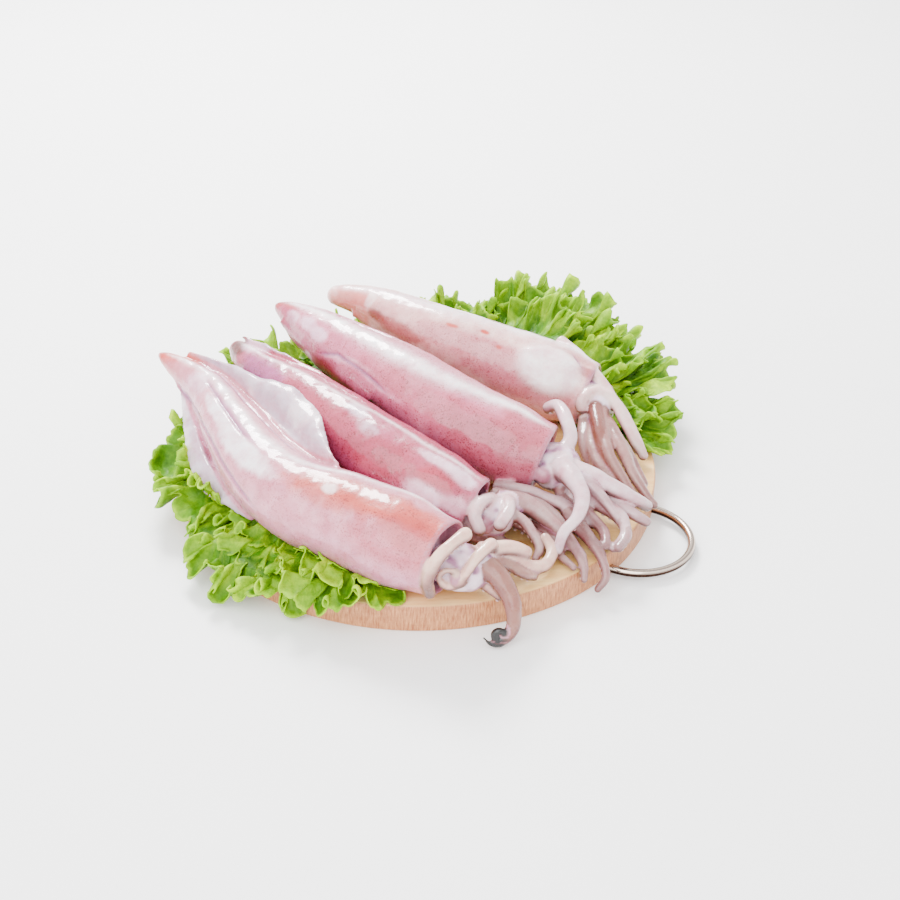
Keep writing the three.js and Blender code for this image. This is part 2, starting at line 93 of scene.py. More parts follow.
# Centre lines of the squid, their arms and fins
SQUIDS = [
    {
        "name": "squid_1", "radius": 28, "taper": 0.66, "blunt": 0.004,
        "spine": [[-169, 56, 62], [-136, 23, 56], [-113, -20, 52], [-93, -58, 48], [-69, -86, 46],
            [-42, -102, 45], [-13, -121, 44], [14, -138, 43]],
        "head": {"line": [[10, -137, 40], [26, -137, 36], [40, -134, 36]], "radius": 14},
        "arms": [
            {"line": [[26, -136, 60], [17, -136, 54], [10, -138, 45], [5, -140, 33], [6, -142, 24]],
                "root": 3.6, "tip": 3.4},
            {"line": [[38, -130, 44], [35, -143, 46], [27, -152, 40], [21, -148, 30], [14, -140, 26]],
                "root": 4.2, "tip": 4},
            {"line": [[34, -130, 42], [54, -127, 36], [63, -126, 28], [72, -121, 25],
                [77, -110, 27], [73, -101, 30]],
                "root": 5, "tip": 3.2},
            {"line": [[34, -132, 44], [52, -128, 43], [61, -125, 37]], "root": 5, "tip": 4},
            {"line": [[32, -136, 42], [44, -144, 35], [51, -151, 27], [53, -157, 18],
                [52, -160, 10], [48, -163, 5], [43, -165, 4.6]], "root": 7, "tip": 2.4},
            {"line": [[28, -134, 34], [38, -141, 27], [46, -146, 23]], "root": 4.4, "tip": 3.6},
        ],
        "fins": [
            {"from": 0.1, "to": 0.56, "rootAngle": -35, "bulge": 5,
                "edge": [[-158, 37, 56], [-151, 19, 51], [-147, -5, 42], [-141, -32, 34],
                    [-133, -50, 30], [-115, -68, 28], [-98, -83, 29]]},
            {"from": 0.08, "to": 0.7, "rootAngle": 150, "bulge": 6,
                "edge": [[-147, 46, 64], [-117, 25, 70], [-102, 8, 74], [-89, -2, 76],
                    [-73, -14, 76], [-61, -30, 74], [-55, -54, 72], [-50, -75, 69], [-46, -85, 65]]},
        ],
    },
    {
        "name": "squid_2", "radius": 24, "taper": 0.56, "blunt": 0.03,
        "spine": [[-119, 60, 64], [-98, 30, 62], [-67, -3, 61], [-39, -35, 58], [-11, -59, 52],
            [12, -76, 46], [32, -86, 40]],
        "head": {"line": [[28, -86, 38], [42, -88, 36], [56, -84, 36]], "radius": 13},
        "arms": [
            {"line": [[43, -85, 46], [36, -96, 51], [32, -104, 48], [35, -111, 42]], "root": 4.2, "tip": 4},
            {"line": [[52, -83, 44], [52, -96, 46], [46, -108, 43]], "root": 4.4, "tip": 4.2},
            {"line": [[46, -78, 40], [64, -79, 37], [79, -88, 30], [90, -101, 24],
                [95, -116, 21], [95, -122, 15]],
                "root": 7.5, "tip": 2.4},
            {"line": [[44, -84, 34], [62, -88, 28], [73, -97, 24], [83, -110, 22], [89, -119, 21.5]],
                "root": 4.6, "tip": 2.4},
        ],
        "fins": [
            {"from": 0.06, "to": 0.5, "rootAngle": 120, "bulge": 3,
                "edge": [[-115, 59, 72], [-100, 46, 74], [-88, 32, 76], [-75, 20, 75], [-58, 6, 73],
                    [-46, -7, 70]]},
        ],
    },
    {
        "name": "squid_3", "radius": 27, "taper": 0.6, "blunt": 0.01,
        "spine": [[-94, 95, 76], [-74, 74, 75], [-47, 45, 72], [-16, 16, 69], [14, -8, 60.5],
            [45, -25, 50], [76, -37, 42]],
        "head": {"line": [[70, -37, 42], [84, -44, 40], [98, -50, 38]], "radius": 15},
        "arms": [
            {"line": [[84, -42, 46], [92, -33, 53], [90, -19, 60], [86, -5, 60], [81, 0, 55]],
                "root": 4.8, "tip": 4},
            {"line": [[88, -46, 46], [103, -57, 45], [119, -65, 39], [131, -66, 31], [138, -63, 25]],
                "root": 5.2, "tip": 3.8},
            {"line": [[86, -52, 46], [93, -67, 46], [96, -82, 43], [92, -94, 38], [84, -101, 33]],
                "root": 5, "tip": 3.6},
            {"line": [[96, -52, 36], [114, -65, 31], [128, -74, 27], [136, -77, 23]],
                "root": 4.8, "tip": 3},
            {"line": [[92, -54, 34], [108, -70, 31], [119, -80, 28], [122, -92, 25], [116, -103, 23.5]],
                "root": 5, "tip": 3},
            {"line": [[90, -56, 32], [101, -76, 28], [109, -89, 25], [109, -101, 23.5]],
                "root": 4.8, "tip": 3},
            {"line": [[86, -56, 32], [91, -82, 27], [100, -98, 25], [106, -111, 21],
                [108, -118, 14], [103, -121, 7]],
                "root": 4.8, "tip": 2.4},
        ],
        "fins": [
            {"from": 0.07, "to": 0.52, "rootAngle": 8, "wrap": -62},
            {"from": 0.07, "to": 0.52, "rootAngle": 172, "wrap": 62},
        ],
    },
    {
        "name": "squid_4", "radius": 26, "taper": 0.72, "blunt": 0.08,
        "spine": [[-58, 115, 74], [-36, 107, 73], [-9, 88, 69], [20, 71, 63], [53, 61, 54],
            [83, 50, 47], [110, 38, 42]],
        "head": {"line": [[102, 38, 43], [112, 29, 43], [117, 12, 39]], "radius": 13.5},
        "arms": [
            {"line": [[113, 16, 40], [109, -8, 35], [111, -26, 31], [119, -42, 27]], "root": 6, "tip": 4},
            {"line": [[116, 14, 43], [117, -22, 38], [123, -40, 33], [131, -55, 26], [137, -60, 23]],
                "root": 5, "tip": 2.6},
            {"line": [[117, 14, 40], [125, -14, 38], [132, -38, 30], [140, -52, 23], [143, -58, 22]],
                "root": 5.4, "tip": 2.6},
            {"line": [[104, 14, 44], [104, 17, 50], [112, 23, 53], [123, 20, 50], [131, 10, 42],
                [137, 1, 33], [142, -8, 24]],
                "root": 4, "tip": 3.4},
        ],
        "fins": [
            {"from": 0.1, "to": 0.5, "rootAngle": -12, "wrap": -58},
            {"from": 0.1, "to": 0.5, "rootAngle": 192, "wrap": 58},
        ],
    },
]

# Points round an upright ring that faces the near side and closes in from one radius to the other.
def ring_curl(centre, radii, angles):
    turns = np.radians(np.linspace(*angles, RING_POINTS))
    across, out, height = centre
    return [[across + radius * math.cos(turn), out, height + radius * math.sin(turn)]
            for radius, turn in zip(np.linspace(*radii, RING_POINTS), turns)]


# Curled ends that some of the arms have beyond their plain lines
CURLS = {
    ("squid_1", 0): {"line": [[27, -140, 62], [18, -150, 62], [10, -157, 57], [5, -158, 44], [6, -154, 31]],
                     "root": 4.0, "tip": 3.6},
    ("squid_1", 1): {"line": [[40, -131, 44], [40, -136, 51], [32, -146, 50], [26, -152, 43]]
                     + ring_curl((17, -151.5, 40), (6.8, 4.6), (-45, -350)),
                     "root": 4.4, "tip": 1.4, "full": 0.8, "smooth": True},
    ("squid_3", 2): {"line": [[86, -52, 46], [92, -66, 46], [96, -80, 43], [92, -93, 38], [84, -101, 33],
                              [80, -111, 27]],
                     "root": 9, "tip": 2.8, "full": 0.5},
    ("squid_3", 1): {"line": [[86, -46, 42], [103, -57, 43], [119, -65, 38], [131, -66, 31],
                              [138, -63, 25]],
                     "root": 9, "tip": 3.4, "full": 0.5},
    ("squid_1", 4): {"line": [[32, -136, 42], [44, -144, 35], [51, -151, 27], [53, -157, 18],
                              [52, -160, 10]] + ring_curl((45.5, -162.5, 9), (4.2, 2.2), (-50, -340)),
                     "root": 7, "tip": 1.3, "full": 1.7, "smooth": True, "dark_from": 0.72},
}

# Extra arms that lie among the others
EXTRA_ARMS = {
    "squid_1": [
        {"line": [[36, -133, 40], [50, -132, 34], [60, -132, 27], [66, -128, 22]], "root": 4.4, "tip": 2.6},
        {"line": [[49, -162.5, 4.4], [44, -164.5, 2.4], [39.5, -164.5, 3.6], [36, -164, 8]],
            "root": 2.0, "tip": 0.6, "smooth": True, "dark_from": 0.1},
    ],
    "squid_2": [
        {"line": [[50, -86, 38], [60, -92, 36], [66, -100, 32], [70, -107, 26], [67, -113, 23]],
            "root": 4.2, "tip": 2.4},
        {"line": [[44, -66, 36], [56, -68, 35], [69, -70, 33], [81, -79, 29], [90, -96, 24],
                  [96, -112, 22], [94, -119, 12]],
            "root": 4.6, "tip": 1.6},
        {"line": [[50, -78, 30], [65, -79, 28], [76, -90, 25], [84, -105, 22]], "root": 4.2, "tip": 2},
        {"line": [[25, -92, 27], [36, -96, 26], [48, -97, 24], [59, -100, 22]], "root": 4.6, "tip": 3},
    ],
    "squid_3": [
        {"line": [[94, -52, 42], [104, -66, 40], [113, -76, 34], [120, -82, 26]], "root": 4.2, "tip": 2.6},
        {"line": [[47, -54, 33], [55, -59, 35], [64, -64, 37], [77, -68, 34], [91, -74, 30],
                  [103, -82, 25]],
            "root": 4.8, "tip": 2.8},
        {"line": [[92, -62, 34], [108, -70, 32], [120, -79, 29], [121, -91, 25], [113, -102, 22]],
            "root": 5, "tip": 2.6},
        {"line": [[84, -66, 32], [94, -82, 28], [102, -98, 25], [107, -108, 22]], "root": 4.6, "tip": 2.4},
    ],
    "squid_4": [
        {"line": [[112, 14, 46], [113, -4, 43], [115, -22, 36], [122, -38, 30], [128, -50, 25]],
            "root": 4.6, "tip": 2.4},
        {"line": [[119, 12, 36], [127, -10, 36], [134, -28, 31], [139, -42, 26]], "root": 4.4, "tip": 2.2},
        {"line": [[106, 14, 38], [104, -4, 34], [106, -20, 29], [112, -34, 24]], "root": 4.6, "tip": 3},
        {"line": [[93, 69, 64], [103, 55, 62], [112, 40, 58], [121, 24, 52], [129, 8, 43],
                  [136, -3, 32], [142, -7, 24]], "root": 4.5, "tip": 3, "smooth": True},
    ],
}


# A centre line through points, measured by distance, which runs on straight past both its ends.
class Line:
    def __init__(self, rows):
        rows = np.array(rows, float)
        rows = np.vstack([2 * rows[0] - rows[1], rows, 2 * rows[-1] - rows[-2]])
        pieces = []
        for a, b, c, d in zip(rows, rows[1:], rows[2:], rows[3:]):
            gaps = [max(np.linalg.norm(q - p) ** 0.5, 1e-4) for p, q in ((a, b), (b, c), (c, d))]
            start = (b - a) / gaps[0] - (c - a) / (gaps[0] + gaps[1]) + (c - b) / gaps[1]
            end = (c - b) / gaps[1] - (d - b) / (gaps[1] + gaps[2]) + (d - c) / gaps[2]
            start, end = start * gaps[1], end * gaps[1]
            t = np.linspace(0, 1, 60, endpoint=False)[:, None]
            pieces.append(b + start * t + (3 * (c - b) - 2 * start - end) * t**2
                          + (2 * (b - c) + start + end) * t**3)
        self.points = np.vstack(pieces + [rows[-2:-1]])
        steps = np.linalg.norm(np.diff(self.points, axis=0), axis=1)
        self.marks = np.concatenate([[0], np.cumsum(steps)])
        self.length = self.marks[-1]

    def spot(self, distance):
        return np.array([np.interp(distance, self.marks, self.points[:, k]) for k in range(3)])

    def place(self, distance):
        inside = np.clip(distance, 0, self.length)
        return self.spot(inside) + self.direction(distance) * (distance - inside)

    def direction(self, distance):
        inside = np.clip(distance, 0.6, self.length - 0.6)
        way = self.spot(inside + 0.5) - self.spot(inside - 0.5)
        return way / np.linalg.norm(way)


def unit(vector):
    return vector / max(np.linalg.norm(vector), 1e-9)


def smoothstep(low, high, value):
    share = np.clip((value - low) / (high - low), 0, 1)
    return share * share * (3 - 2 * share)


def lerp(low, high, share):
    return low + (high - low) * share


# A surface over rows of spots. A closed one has its side edges joined and both its ends filled.
def add_surface(work, spots, closed=False):
    rows, columns = spots.shape[:2]
    made = bmesh.ops.create_grid(work, x_segments=columns - 1, y_segments=rows - 1, size=1)["verts"]
    for vert, spot in zip(made, spots.reshape(-1, 3)):
        vert.co = spot
    if closed:
        starts, ends = made[::columns], made[columns - 1::columns]
        ring_verts = made[:columns - 1] + made[-columns:-1]
        bmesh.ops.weld_verts(work, targetmap=dict(zip(ends, starts)))
        edges = {edge for vert in ring_verts for edge in vert.link_edges if edge.is_boundary}
        bmesh.ops.holes_fill(work, edges=list(edges), sides=0)
    return made


# A round shape bent along a line. Each ring is (distance, radius).
def add_tube(work, line, rings, sides, level, height_share=1.0):
    side = np.array([1.0, 0, 0])
    angles = np.linspace(0, 2 * math.pi, sides + 1)[:, None]
    spots = []
    for number, (distance, radius) in enumerate(rings):
        way = line.direction(distance)
        sideways = np.cross(way, UP)
        if level or (number == 0 and np.linalg.norm(sideways) > 0.3):
            side = sideways
        side = unit(side - way * side.dot(way))
        up = np.cross(side, way)
        ring = side * np.cos(angles) + up * np.sin(angles) * height_share
        spots.append(line.place(distance) + radius * ring)
    add_surface(work, np.array(spots), closed=True)


# An outline of (radius, height) points turned round the upright axis.
def add_turned(work, outline, steps):
    verts = [work.verts.new((radius, 0, height)) for radius, height in outline]
    edges = [work.edges.new(pair) for pair in zip(verts, verts[1:])]
    bmesh.ops.spin(work, geom=verts + edges, axis=(0, 0, 1), cent=(0, 0, 0), dvec=(0, 0, 0),
                   angle=2 * math.pi, steps=steps, use_merge=True)
    bmesh.ops.remove_doubles(work, verts=work.verts, dist=1e-5)
    bmesh.ops.holes_fill(work, edges=[edge for edge in work.edges if edge.is_boundary], sides=0)


# A bmesh in millimetres as a finished mesh in metres.
def finished(name, work):
    bmesh.ops.scale(work, vec=(MM, MM, MM), verts=work.verts)
    mesh = bpy.data.meshes.new(name)
    work.to_mesh(mesh)
    work.free()
    outward(mesh)
    return mesh


def outward(mesh):
    work = bmesh.new()
    work.from_mesh(mesh)
    bmesh.ops.recalc_face_normals(work, faces=work.faces)
    work.to_mesh(mesh)
    work.free()
    mesh.polygons.foreach_set("use_smooth", [True] * len(mesh.polygons))
    mesh.update()


def piece_from(name, mesh, material, node):
    piece = bpy.data.objects.new(name, mesh)
    bpy.context.scene.collection.objects.link(piece)
    mesh.materials.clear()
    mesh.materials.append(material)
    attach(piece, "root")
    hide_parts(node)
    return piece


# A mesh with modifiers given as {type: settings}, taken in order and applied.
def shaped(mesh, modifiers):
    holder = bpy.data.objects.new("holder", mesh)
    bpy.context.scene.collection.objects.link(holder)
    for kind, settings in modifiers:
        modifier = holder.modifiers.new(kind.lower(), kind)
        for key, value in settings.items():
            setattr(modifier, key, value)
    shape = holder.evaluated_get(bpy.context.evaluated_depsgraph_get())
    result = bpy.data.meshes.new_from_object(shape)
    bpy.data.objects.remove(holder)
    return result


def points_of(mesh):
    spots = np.empty(len(mesh.vertices) * 3)
    mesh.vertices.foreach_get("co", spots)
    return spots.reshape(-1, 3) / MM


def move_points(mesh, spots):
    mesh.vertices.foreach_set("co", (spots * MM).ravel())
    mesh.update()


def paint(mesh, name, values):
    if values.ndim == 2:
        layer = mesh.attributes.new(name, "FLOAT_COLOR", "POINT")
        layer.data.foreach_set("color", np.hstack([values, np.ones((len(values), 1))]).ravel())
    else:
        layer = mesh.attributes.new(name, "FLOAT", "POINT")
        layer.data.foreach_set("value", values.ravel())


# Smooth noise from -1 to 1 at each point, for features of the given size.
def noise_at(spots, size, seed=0.0):
    shift = Vector((seed * 7.3, seed * 3.1, seed * 5.7))
    return np.array([noise.noise(Vector(spot) / size + shift) for spot in spots])


# How much deeper a pigment is than the colour seen in bright studio light
DEPTH = 1.65


# The pigment that looks like the given colour in bright studio light.
def linear(red, green, blue):
    return np.array([((c / 255 + 0.055) / 1.055) ** (2.4 * DEPTH) for c in (red, green, blue)])


def blend(colours, colour, mask):
    return colours + (colour - colours) * np.clip(mask, 0, 1)[:, None]


# Materials. A socket takes a value or what another node gives.
def feed(tree, socket, value):
    if isinstance(value, bpy.types.NodeSocket):
        tree.links.new(value, socket)
    else:
        socket.default_value = value


def put(tree, kind, inputs=None, **settings):
    node = tree.nodes.new("ShaderNode" + kind)
    for key, value in settings.items():
        setattr(node, key, value)
    for key, value in (inputs or {}).items():
        feed(tree, node.inputs[key], value)
    return node


def new_look(name):
    material = bpy.data.materials.new(name)
    material.use_nodes = True
    tree = material.node_tree
    tree.nodes.clear()
    shader = put(tree, "BsdfPrincipled")
    output = put(tree, "OutputMaterial")
    tree.links.new(shader.outputs[0], output.inputs["Surface"])
    return material, tree, shader


def set_inputs(tree, shader, **values):
    for key, value in values.items():
        feed(tree, shader.inputs[key.replace("_", " ")], value)


def clouds(tree, coords, scale, detail, roughness, distortion=0.0):
    inputs = {"Vector": coords, "Scale": scale, "Detail": detail, "Roughness": roughness,
              "Distortion": distortion}
    return put(tree, "TexNoise", inputs).outputs["Fac"]


def mapped(tree, coords, rotation, scale):
    inputs = {"Vector": coords, "Rotation": rotation, "Scale": scale}
    return put(tree, "Mapping", inputs).outputs[0]


# Soft clouds, streaks or scratches, shared by every finish.
def grain_group():
    group = bpy.data.node_groups.new("grain", "ShaderNodeTree")
    for name in ("Fineness", "Detail", "Roughness", "Warp"):
        group.interface.new_socket(name, in_out="INPUT", socket_type="NodeSocketFloat")
    group.interface.new_socket("Stretch", in_out="INPUT", socket_type="NodeSocketVector")
    group.interface.new_socket("Grain", in_out="OUTPUT", socket_type="NodeSocketFloat")
    start = group.nodes.new("NodeGroupInput").outputs
    coords = put(group, "TexCoord").outputs["Object"]
    stretched = mapped(group, coords, (0, 0, 0), start["Stretch"])
    cloud = clouds(group, stretched, *(start[name] for name in ("Fineness", "Detail", "Roughness", "Warp")))
    group.links.new(cloud, group.nodes.new("NodeGroupOutput").inputs["Grain"])


def grain(tree, fineness, detail=4.0, roughness=0.55, stretch=(1, 1, 1), warp=0.0):
    inputs = {"Fineness": fineness, "Detail": detail, "Roughness": roughness, "Warp": warp, "Stretch": stretch}
    return put(tree, "Group", inputs, node_tree=bpy.data.node_groups["grain"]).outputs["Grain"]


def spread(tree, value, low, high, start=0.0, end=1.0):
    return put(tree, "MapRange", {"Value": value, "From Min": low, "From Max": high,
                                  "To Min": start, "To Max": end}).outputs["Result"]


def calc(tree, operation, first, second):
    return put(tree, "Math", {0: first, 1: second}, operation=operation).outputs[0]


def mixed(tree, factor, first, second, how="MIX"):
    node = put(tree, "Mix", data_type="RGBA", blend_type=how)
    sockets = [s for s in node.inputs if s.enabled]
    for socket, value in zip(sockets, (factor, first, second)):
        if not isinstance(value, (bpy.types.NodeSocket, int, float)):
            value = (*value, 1)
        feed(tree, socket, value)
    return [s for s in node.outputs if s.enabled][0]


def attribute(tree, name, colour=False):
    return put(tree, "Attribute", attribute_name=name).outputs["Color" if colour else "Fac"]


def relief(tree, height, strength, distance):
    inputs = {"Height": height, "Strength": strength, "Distance": distance}
    return put(tree, "Bump", inputs).outputs["Normal"]


def skin_look():
    material, tree, shader = new_look("wet squid skin")
    tint = attribute(tree, "tint", True)
    speckle = attribute(tree, "speckle")
    mottle = grain(tree, 90, 6, 0.6)
    shade = mixed(tree, spread(tree, mottle, 0.35, 0.7, 0.0, 0.6), tint,
                  mixed(tree, 1.0, tint, linear(225, 170, 185), "MULTIPLY"))
    coords = put(tree, "TexCoord").outputs["Object"]
    cells = put(tree, "TexVoronoi", {"Vector": coords, "Scale": 820.0, "Randomness": 1.0})
    size = spread(tree, grain(tree, 420, 2), 0.35, 0.7, 0.16, 0.46)
    dots = put(tree, "MapRange", {"Value": cells.outputs["Distance"], "From Min": size,
                                  "From Max": calc(tree, "ADD", size, 0.14), "To Min": 1.0, "To Max": 0.0})
    patchy = spread(tree, grain(tree, 130, 5, 0.65), 0.36, 0.56)
    dotted = calc(tree, "MULTIPLY", calc(tree, "MULTIPLY", dots.outputs["Result"], patchy), speckle)
    fine = spread(tree, grain(tree, 1900, 3, 0.7), 0.45, 0.72)
    peppered = calc(tree, "MULTIPLY", calc(tree, "MULTIPLY", fine, speckle), 0.55)
    marks = calc(tree, "MAXIMUM", dotted, peppered)
    colour = mixed(tree, calc(tree, "MULTIPLY", marks, 0.75), shade,
                   mixed(tree, 1.0, shade, linear(190, 88, 96), "MULTIPLY"))
    height = calc(tree, "ADD", grain(tree, 260, 5, 0.6), calc(tree, "MULTIPLY", grain(tree, 1400, 3), 0.25))
    set_inputs(
        tree, shader, Base_Color=colour,
        Roughness=spread(tree, grain(tree, 160, 4), 0.3, 0.7, 0.2, 0.42),
        Normal=relief(tree, height, 0.24, 0.0012),
        Subsurface_Weight=0.22, Subsurface_Scale=0.004, Subsurface_Radius=(1.0, 0.45, 0.35),
        Coat_Weight=0.7, Coat_Roughness=0.09, IOR=1.4,
    )
    return material


def lettuce_look():
    material, tree, shader = new_look("frilly lettuce")
    edge = attribute(tree, "edge")
    vein = attribute(tree, "vein")
    patch = spread(tree, grain(tree, 55, 5, 0.6), 0.3, 0.7)
    fine = grain(tree, 420, 5, 0.65)
    deep = mixed(tree, patch, linear(40, 106, 4), linear(110, 166, 6))
    rim = mixed(tree, patch, linear(158, 202, 2), linear(208, 230, 4))
    # The edge attribute gives the paler margin and also painted light on crests and painted shade in troughs.
    blade = mixed(tree, edge, deep, rim)
    blade = mixed(tree, spread(tree, fine, 0.4, 0.75, 0.0, 0.5), blade,
                  mixed(tree, 1.0, blade, linear(130, 180, 70), "MULTIPLY"))
    colour = mixed(tree, calc(tree, "MULTIPLY", vein, 0.5), blade, linear(178, 206, 30))
    height = calc(tree, "ADD", grain(tree, 190, 4), calc(tree, "MULTIPLY", vein, 0.6))
    set_inputs(
        tree, shader, Base_Color=colour,
        Roughness=spread(tree, fine, 0.3, 0.7, 0.4, 0.6), Specular_IOR_Level=0.14,
        Normal=relief(tree, height, 0.5, 0.0012),
        Subsurface_Weight=0.15, Subsurface_Scale=0.002, Subsurface_Radius=(0.6, 1.0, 0.15),
    )
    return material


def board_look():
    material, tree, shader = new_look("pale board wood")
    coords = put(tree, "TexCoord").outputs["Object"]
    turned = mapped(tree, coords, (0, 0.35, WOOD_TURN), (1, 9, 14))
    streaks = clouds(tree, turned, 14.0, 8.0, 0.62, 0.6)
    pores = clouds(tree, turned, 120.0, 4.0, 0.7)
    bands = put(tree, "TexWave", {"Vector": turned, "Scale": 2.2, "Distortion": 5.0, "Detail": 3.0},
                bands_direction="Y").outputs["Fac"]
    top = mixed(tree, spread(tree, streaks, 0.3, 0.7), linear(232, 192, 134), linear(250, 226, 180))
    top = mixed(tree, spread(tree, bands, 0.4, 1.0, 0.0, 0.25), top, linear(214, 166, 114))
    slanted = mapped(tree, attribute(tree, "rim", True), (0, 0, WOOD_TURN), (160, 22, 1))
    strokes = clouds(tree, slanted, 6.0, 6.0, 0.65)
    # The side is painted darker than the top as shade; its slanted strokes are grain.
    side = mixed(tree, spread(tree, strokes, 0.35, 0.65), linear(184, 130, 90), linear(230, 186, 144))
    side = mixed(tree, spread(tree, streaks, 0.35, 0.8, 0.0, 0.4), side, linear(184, 128, 90))
    colour = mixed(tree, attribute(tree, "wall"), top, side)
    colour = mixed(tree, spread(tree, pores, 0.55, 0.75, 0.0, 0.3), colour,
                   mixed(tree, 1.0, colour, linear(190, 150, 115), "MULTIPLY"))
    set_inputs(
        tree, shader, Base_Color=colour,
        Roughness=spread(tree, streaks, 0.3, 0.7, 0.4, 0.55),
        Normal=relief(tree, calc(tree, "ADD", streaks, pores), 0.25, 0.0006),
        Coat_Weight=0.12, Coat_Roughness=0.3,
    )
    return material


def steel_look():
    material, tree, shader = new_look("polished wire")
    shade = attribute(tree, "shade")
    scratches = grain(tree, 900, 3, 0.6, (1, 1, 0.2))
    colour = mixed(tree, shade, linear(244, 232, 222), linear(84, 60, 48))
    colour = mixed(tree, spread(tree, scratches, 0.4, 0.8, 0.0, 0.3), colour, linear(150, 120, 104))
    set_inputs(
        tree, shader, Base_Color=colour, Metallic=1.0,
        Roughness=spread(tree, scratches, 0.3, 0.7, 0.1, 0.24),
        Normal=relief(tree, scratches, 0.05, 0.0002),
    )
    return material


def floor_look():
    material, tree, shader = new_look("pale floor")
    tone = mixed(tree, spread(tree, grain(tree, 3, 4), 0.3, 0.7), (0.93, 0.93, 0.93), (0.96, 0.96, 0.96))
    set_inputs(tree, shader, Base_Color=tone, Roughness=0.6)
    return material


# Board with the two blind holes of the handle
def board_outline():
    inner, top = BOARD_RADIUS - BOARD_EDGE, BOARD_THICKNESS - BOARD_EDGE
    turns = [math.pi / 2 * step / EDGE_STEPS for step in range(EDGE_STEPS + 1)]
    outline = [(radius, 0) for radius in BOARD_RINGS]
    outline += [(inner + BOARD_EDGE * math.sin(turn), BOARD_EDGE - BOARD_EDGE * math.cos(turn))
                for turn in turns]
    outline += [(BOARD_RADIUS, lerp(BOARD_EDGE, top, step / EDGE_STEPS)) for step in range(1, EDGE_STEPS)]
    outline += [(inner + BOARD_EDGE * math.cos(turn), top + BOARD_EDGE * math.sin(turn)) for turn in turns]
    return outline + [(radius, BOARD_THICKNESS) for radius in reversed(BOARD_RINGS)]


def handle_spots(inset):
    out = np.array([math.cos(HANDLE_TURN), math.sin(HANDLE_TURN), 0])
    side = np.cross(UP, out)
    centre = out * HANDLE_CENTRE_OUT + UP * HANDLE_HEIGHT
    arm = side * HANDLE_RADIUS
    turns = [(step / ARC_STEPS - 0.5) * math.pi for step in range(ARC_STEPS + 1)]
    near_leg = [centre - out * inset - arm, centre - out * inset / 2 - arm]
    arc = [centre + out * HANDLE_RADIUS * math.cos(turn) + arm * math.sin(turn) for turn in turns]
    far_leg = [centre - out * inset / 2 + arm, centre - out * inset + arm]
    return near_leg + arc + far_leg


def make_board(look):
    work = bmesh.new()
    add_turned(work, board_outline(), BOARD_STEPS)
    mesh = finished("board", work)
    spots = handle_spots(LEG_DEPTH + 0.5)
    work = bmesh.new()
    for a, b in ((spots[0], spots[2]), (spots[-1], spots[-3])):
        add_tube(work, Line([a, b]), [(0, HOLE_RADIUS), (LEG_DEPTH + 6, HOLE_RADIUS)], HOLE_SIDES, True)
    drill = bpy.data.objects.new("drill", finished("drill", work))
    bpy.context.scene.collection.objects.link(drill)
    mesh = shaped(mesh, [("BOOLEAN", {"object": drill, "operation": "DIFFERENCE", "solver": "EXACT"})])
    bpy.data.objects.remove(drill)
    mesh.polygons.foreach_set("use_smooth", [True] * len(mesh.polygons))
    mesh.set_sharp_from_angle(angle=math.radians(40))
    spots = points_of(mesh)
    around = np.arctan2(spots[:, 1], spots[:, 0]) * BOARD_RADIUS * MM
    rim = np.column_stack([np.abs(around), spots[:, 2] * MM, np.zeros(len(spots))])
    paint(mesh, "rim", rim)
    from_axis = np.hypot(spots[:, 0], spots[:, 1])
    paint(mesh, "wall", smoothstep(BOARD_RADIUS - 1.2, BOARD_RADIUS - 0.3, from_axis))
    return piece_from("board_visual", mesh, look, "board")


def make_handle(look):
    line = Line(handle_spots(LEG_DEPTH))
    rings = [(0.2, WIRE_RADIUS - 0.5)]
    for step in range(WIRE_STEPS + 1):
        rings.append((lerp(0.5, line.length - 0.5, step / WIRE_STEPS), WIRE_RADIUS))
    rings.append((line.length - 0.2, WIRE_RADIUS - 0.5))
    work = bmesh.new()
    add_tube(work, line, rings, WIRE_SIDES, True)
    mesh = finished("handle", work)
    normals = np.empty(len(mesh.vertices) * 3)
    mesh.vertices.foreach_get("normal", normals)
    tilt = normals[2::3]
    dark = smoothstep(0.6, 0.3, tilt) + 0.8 * np.exp(-(((tilt - 0.92) / 0.09) ** 2))
    paint(mesh, "shade", np.clip(dark, 0, 1))
    return piece_from("handle_visual", mesh, look, "handle")


# Squid bodies
def mantle_radius(squid, share):
    blunt = squid["blunt"]
    swell = np.sin((np.pi / 2) * ((np.clip(share, 0, 1) + blunt) / (1 + blunt)) ** squid["taper"])
    return squid["radius"] * swell * (1 - MOUTH_DRAW * smoothstep(MOUTH_START, 1, share))


def add_mantle(work, squid, spine):
    start = mantle_radius(squid, 0)
    rings = [(-0.6 * start, 0.02 * start + 0.05), (-0.45 * start, 0.55 * start), (-0.2 * start, 0.85 * start)]
    for station in range(MANTLE_STATIONS + 1):
        share = (station / MANTLE_STATIONS) ** 1.35
        rings.append((share * spine.length, mantle_radius(squid, share)))
    mouth = mantle_radius(squid, 1)
    rings += [(spine.length + past, mouth - inset) for past, inset in MOUTH_LIP]
    rings.append((spine.length - MOUTH_DEPTH, 1.0))
    add_tube(work, spine, rings, MANTLE_SIDES, True, MANTLE_HEIGHT_SHARE)


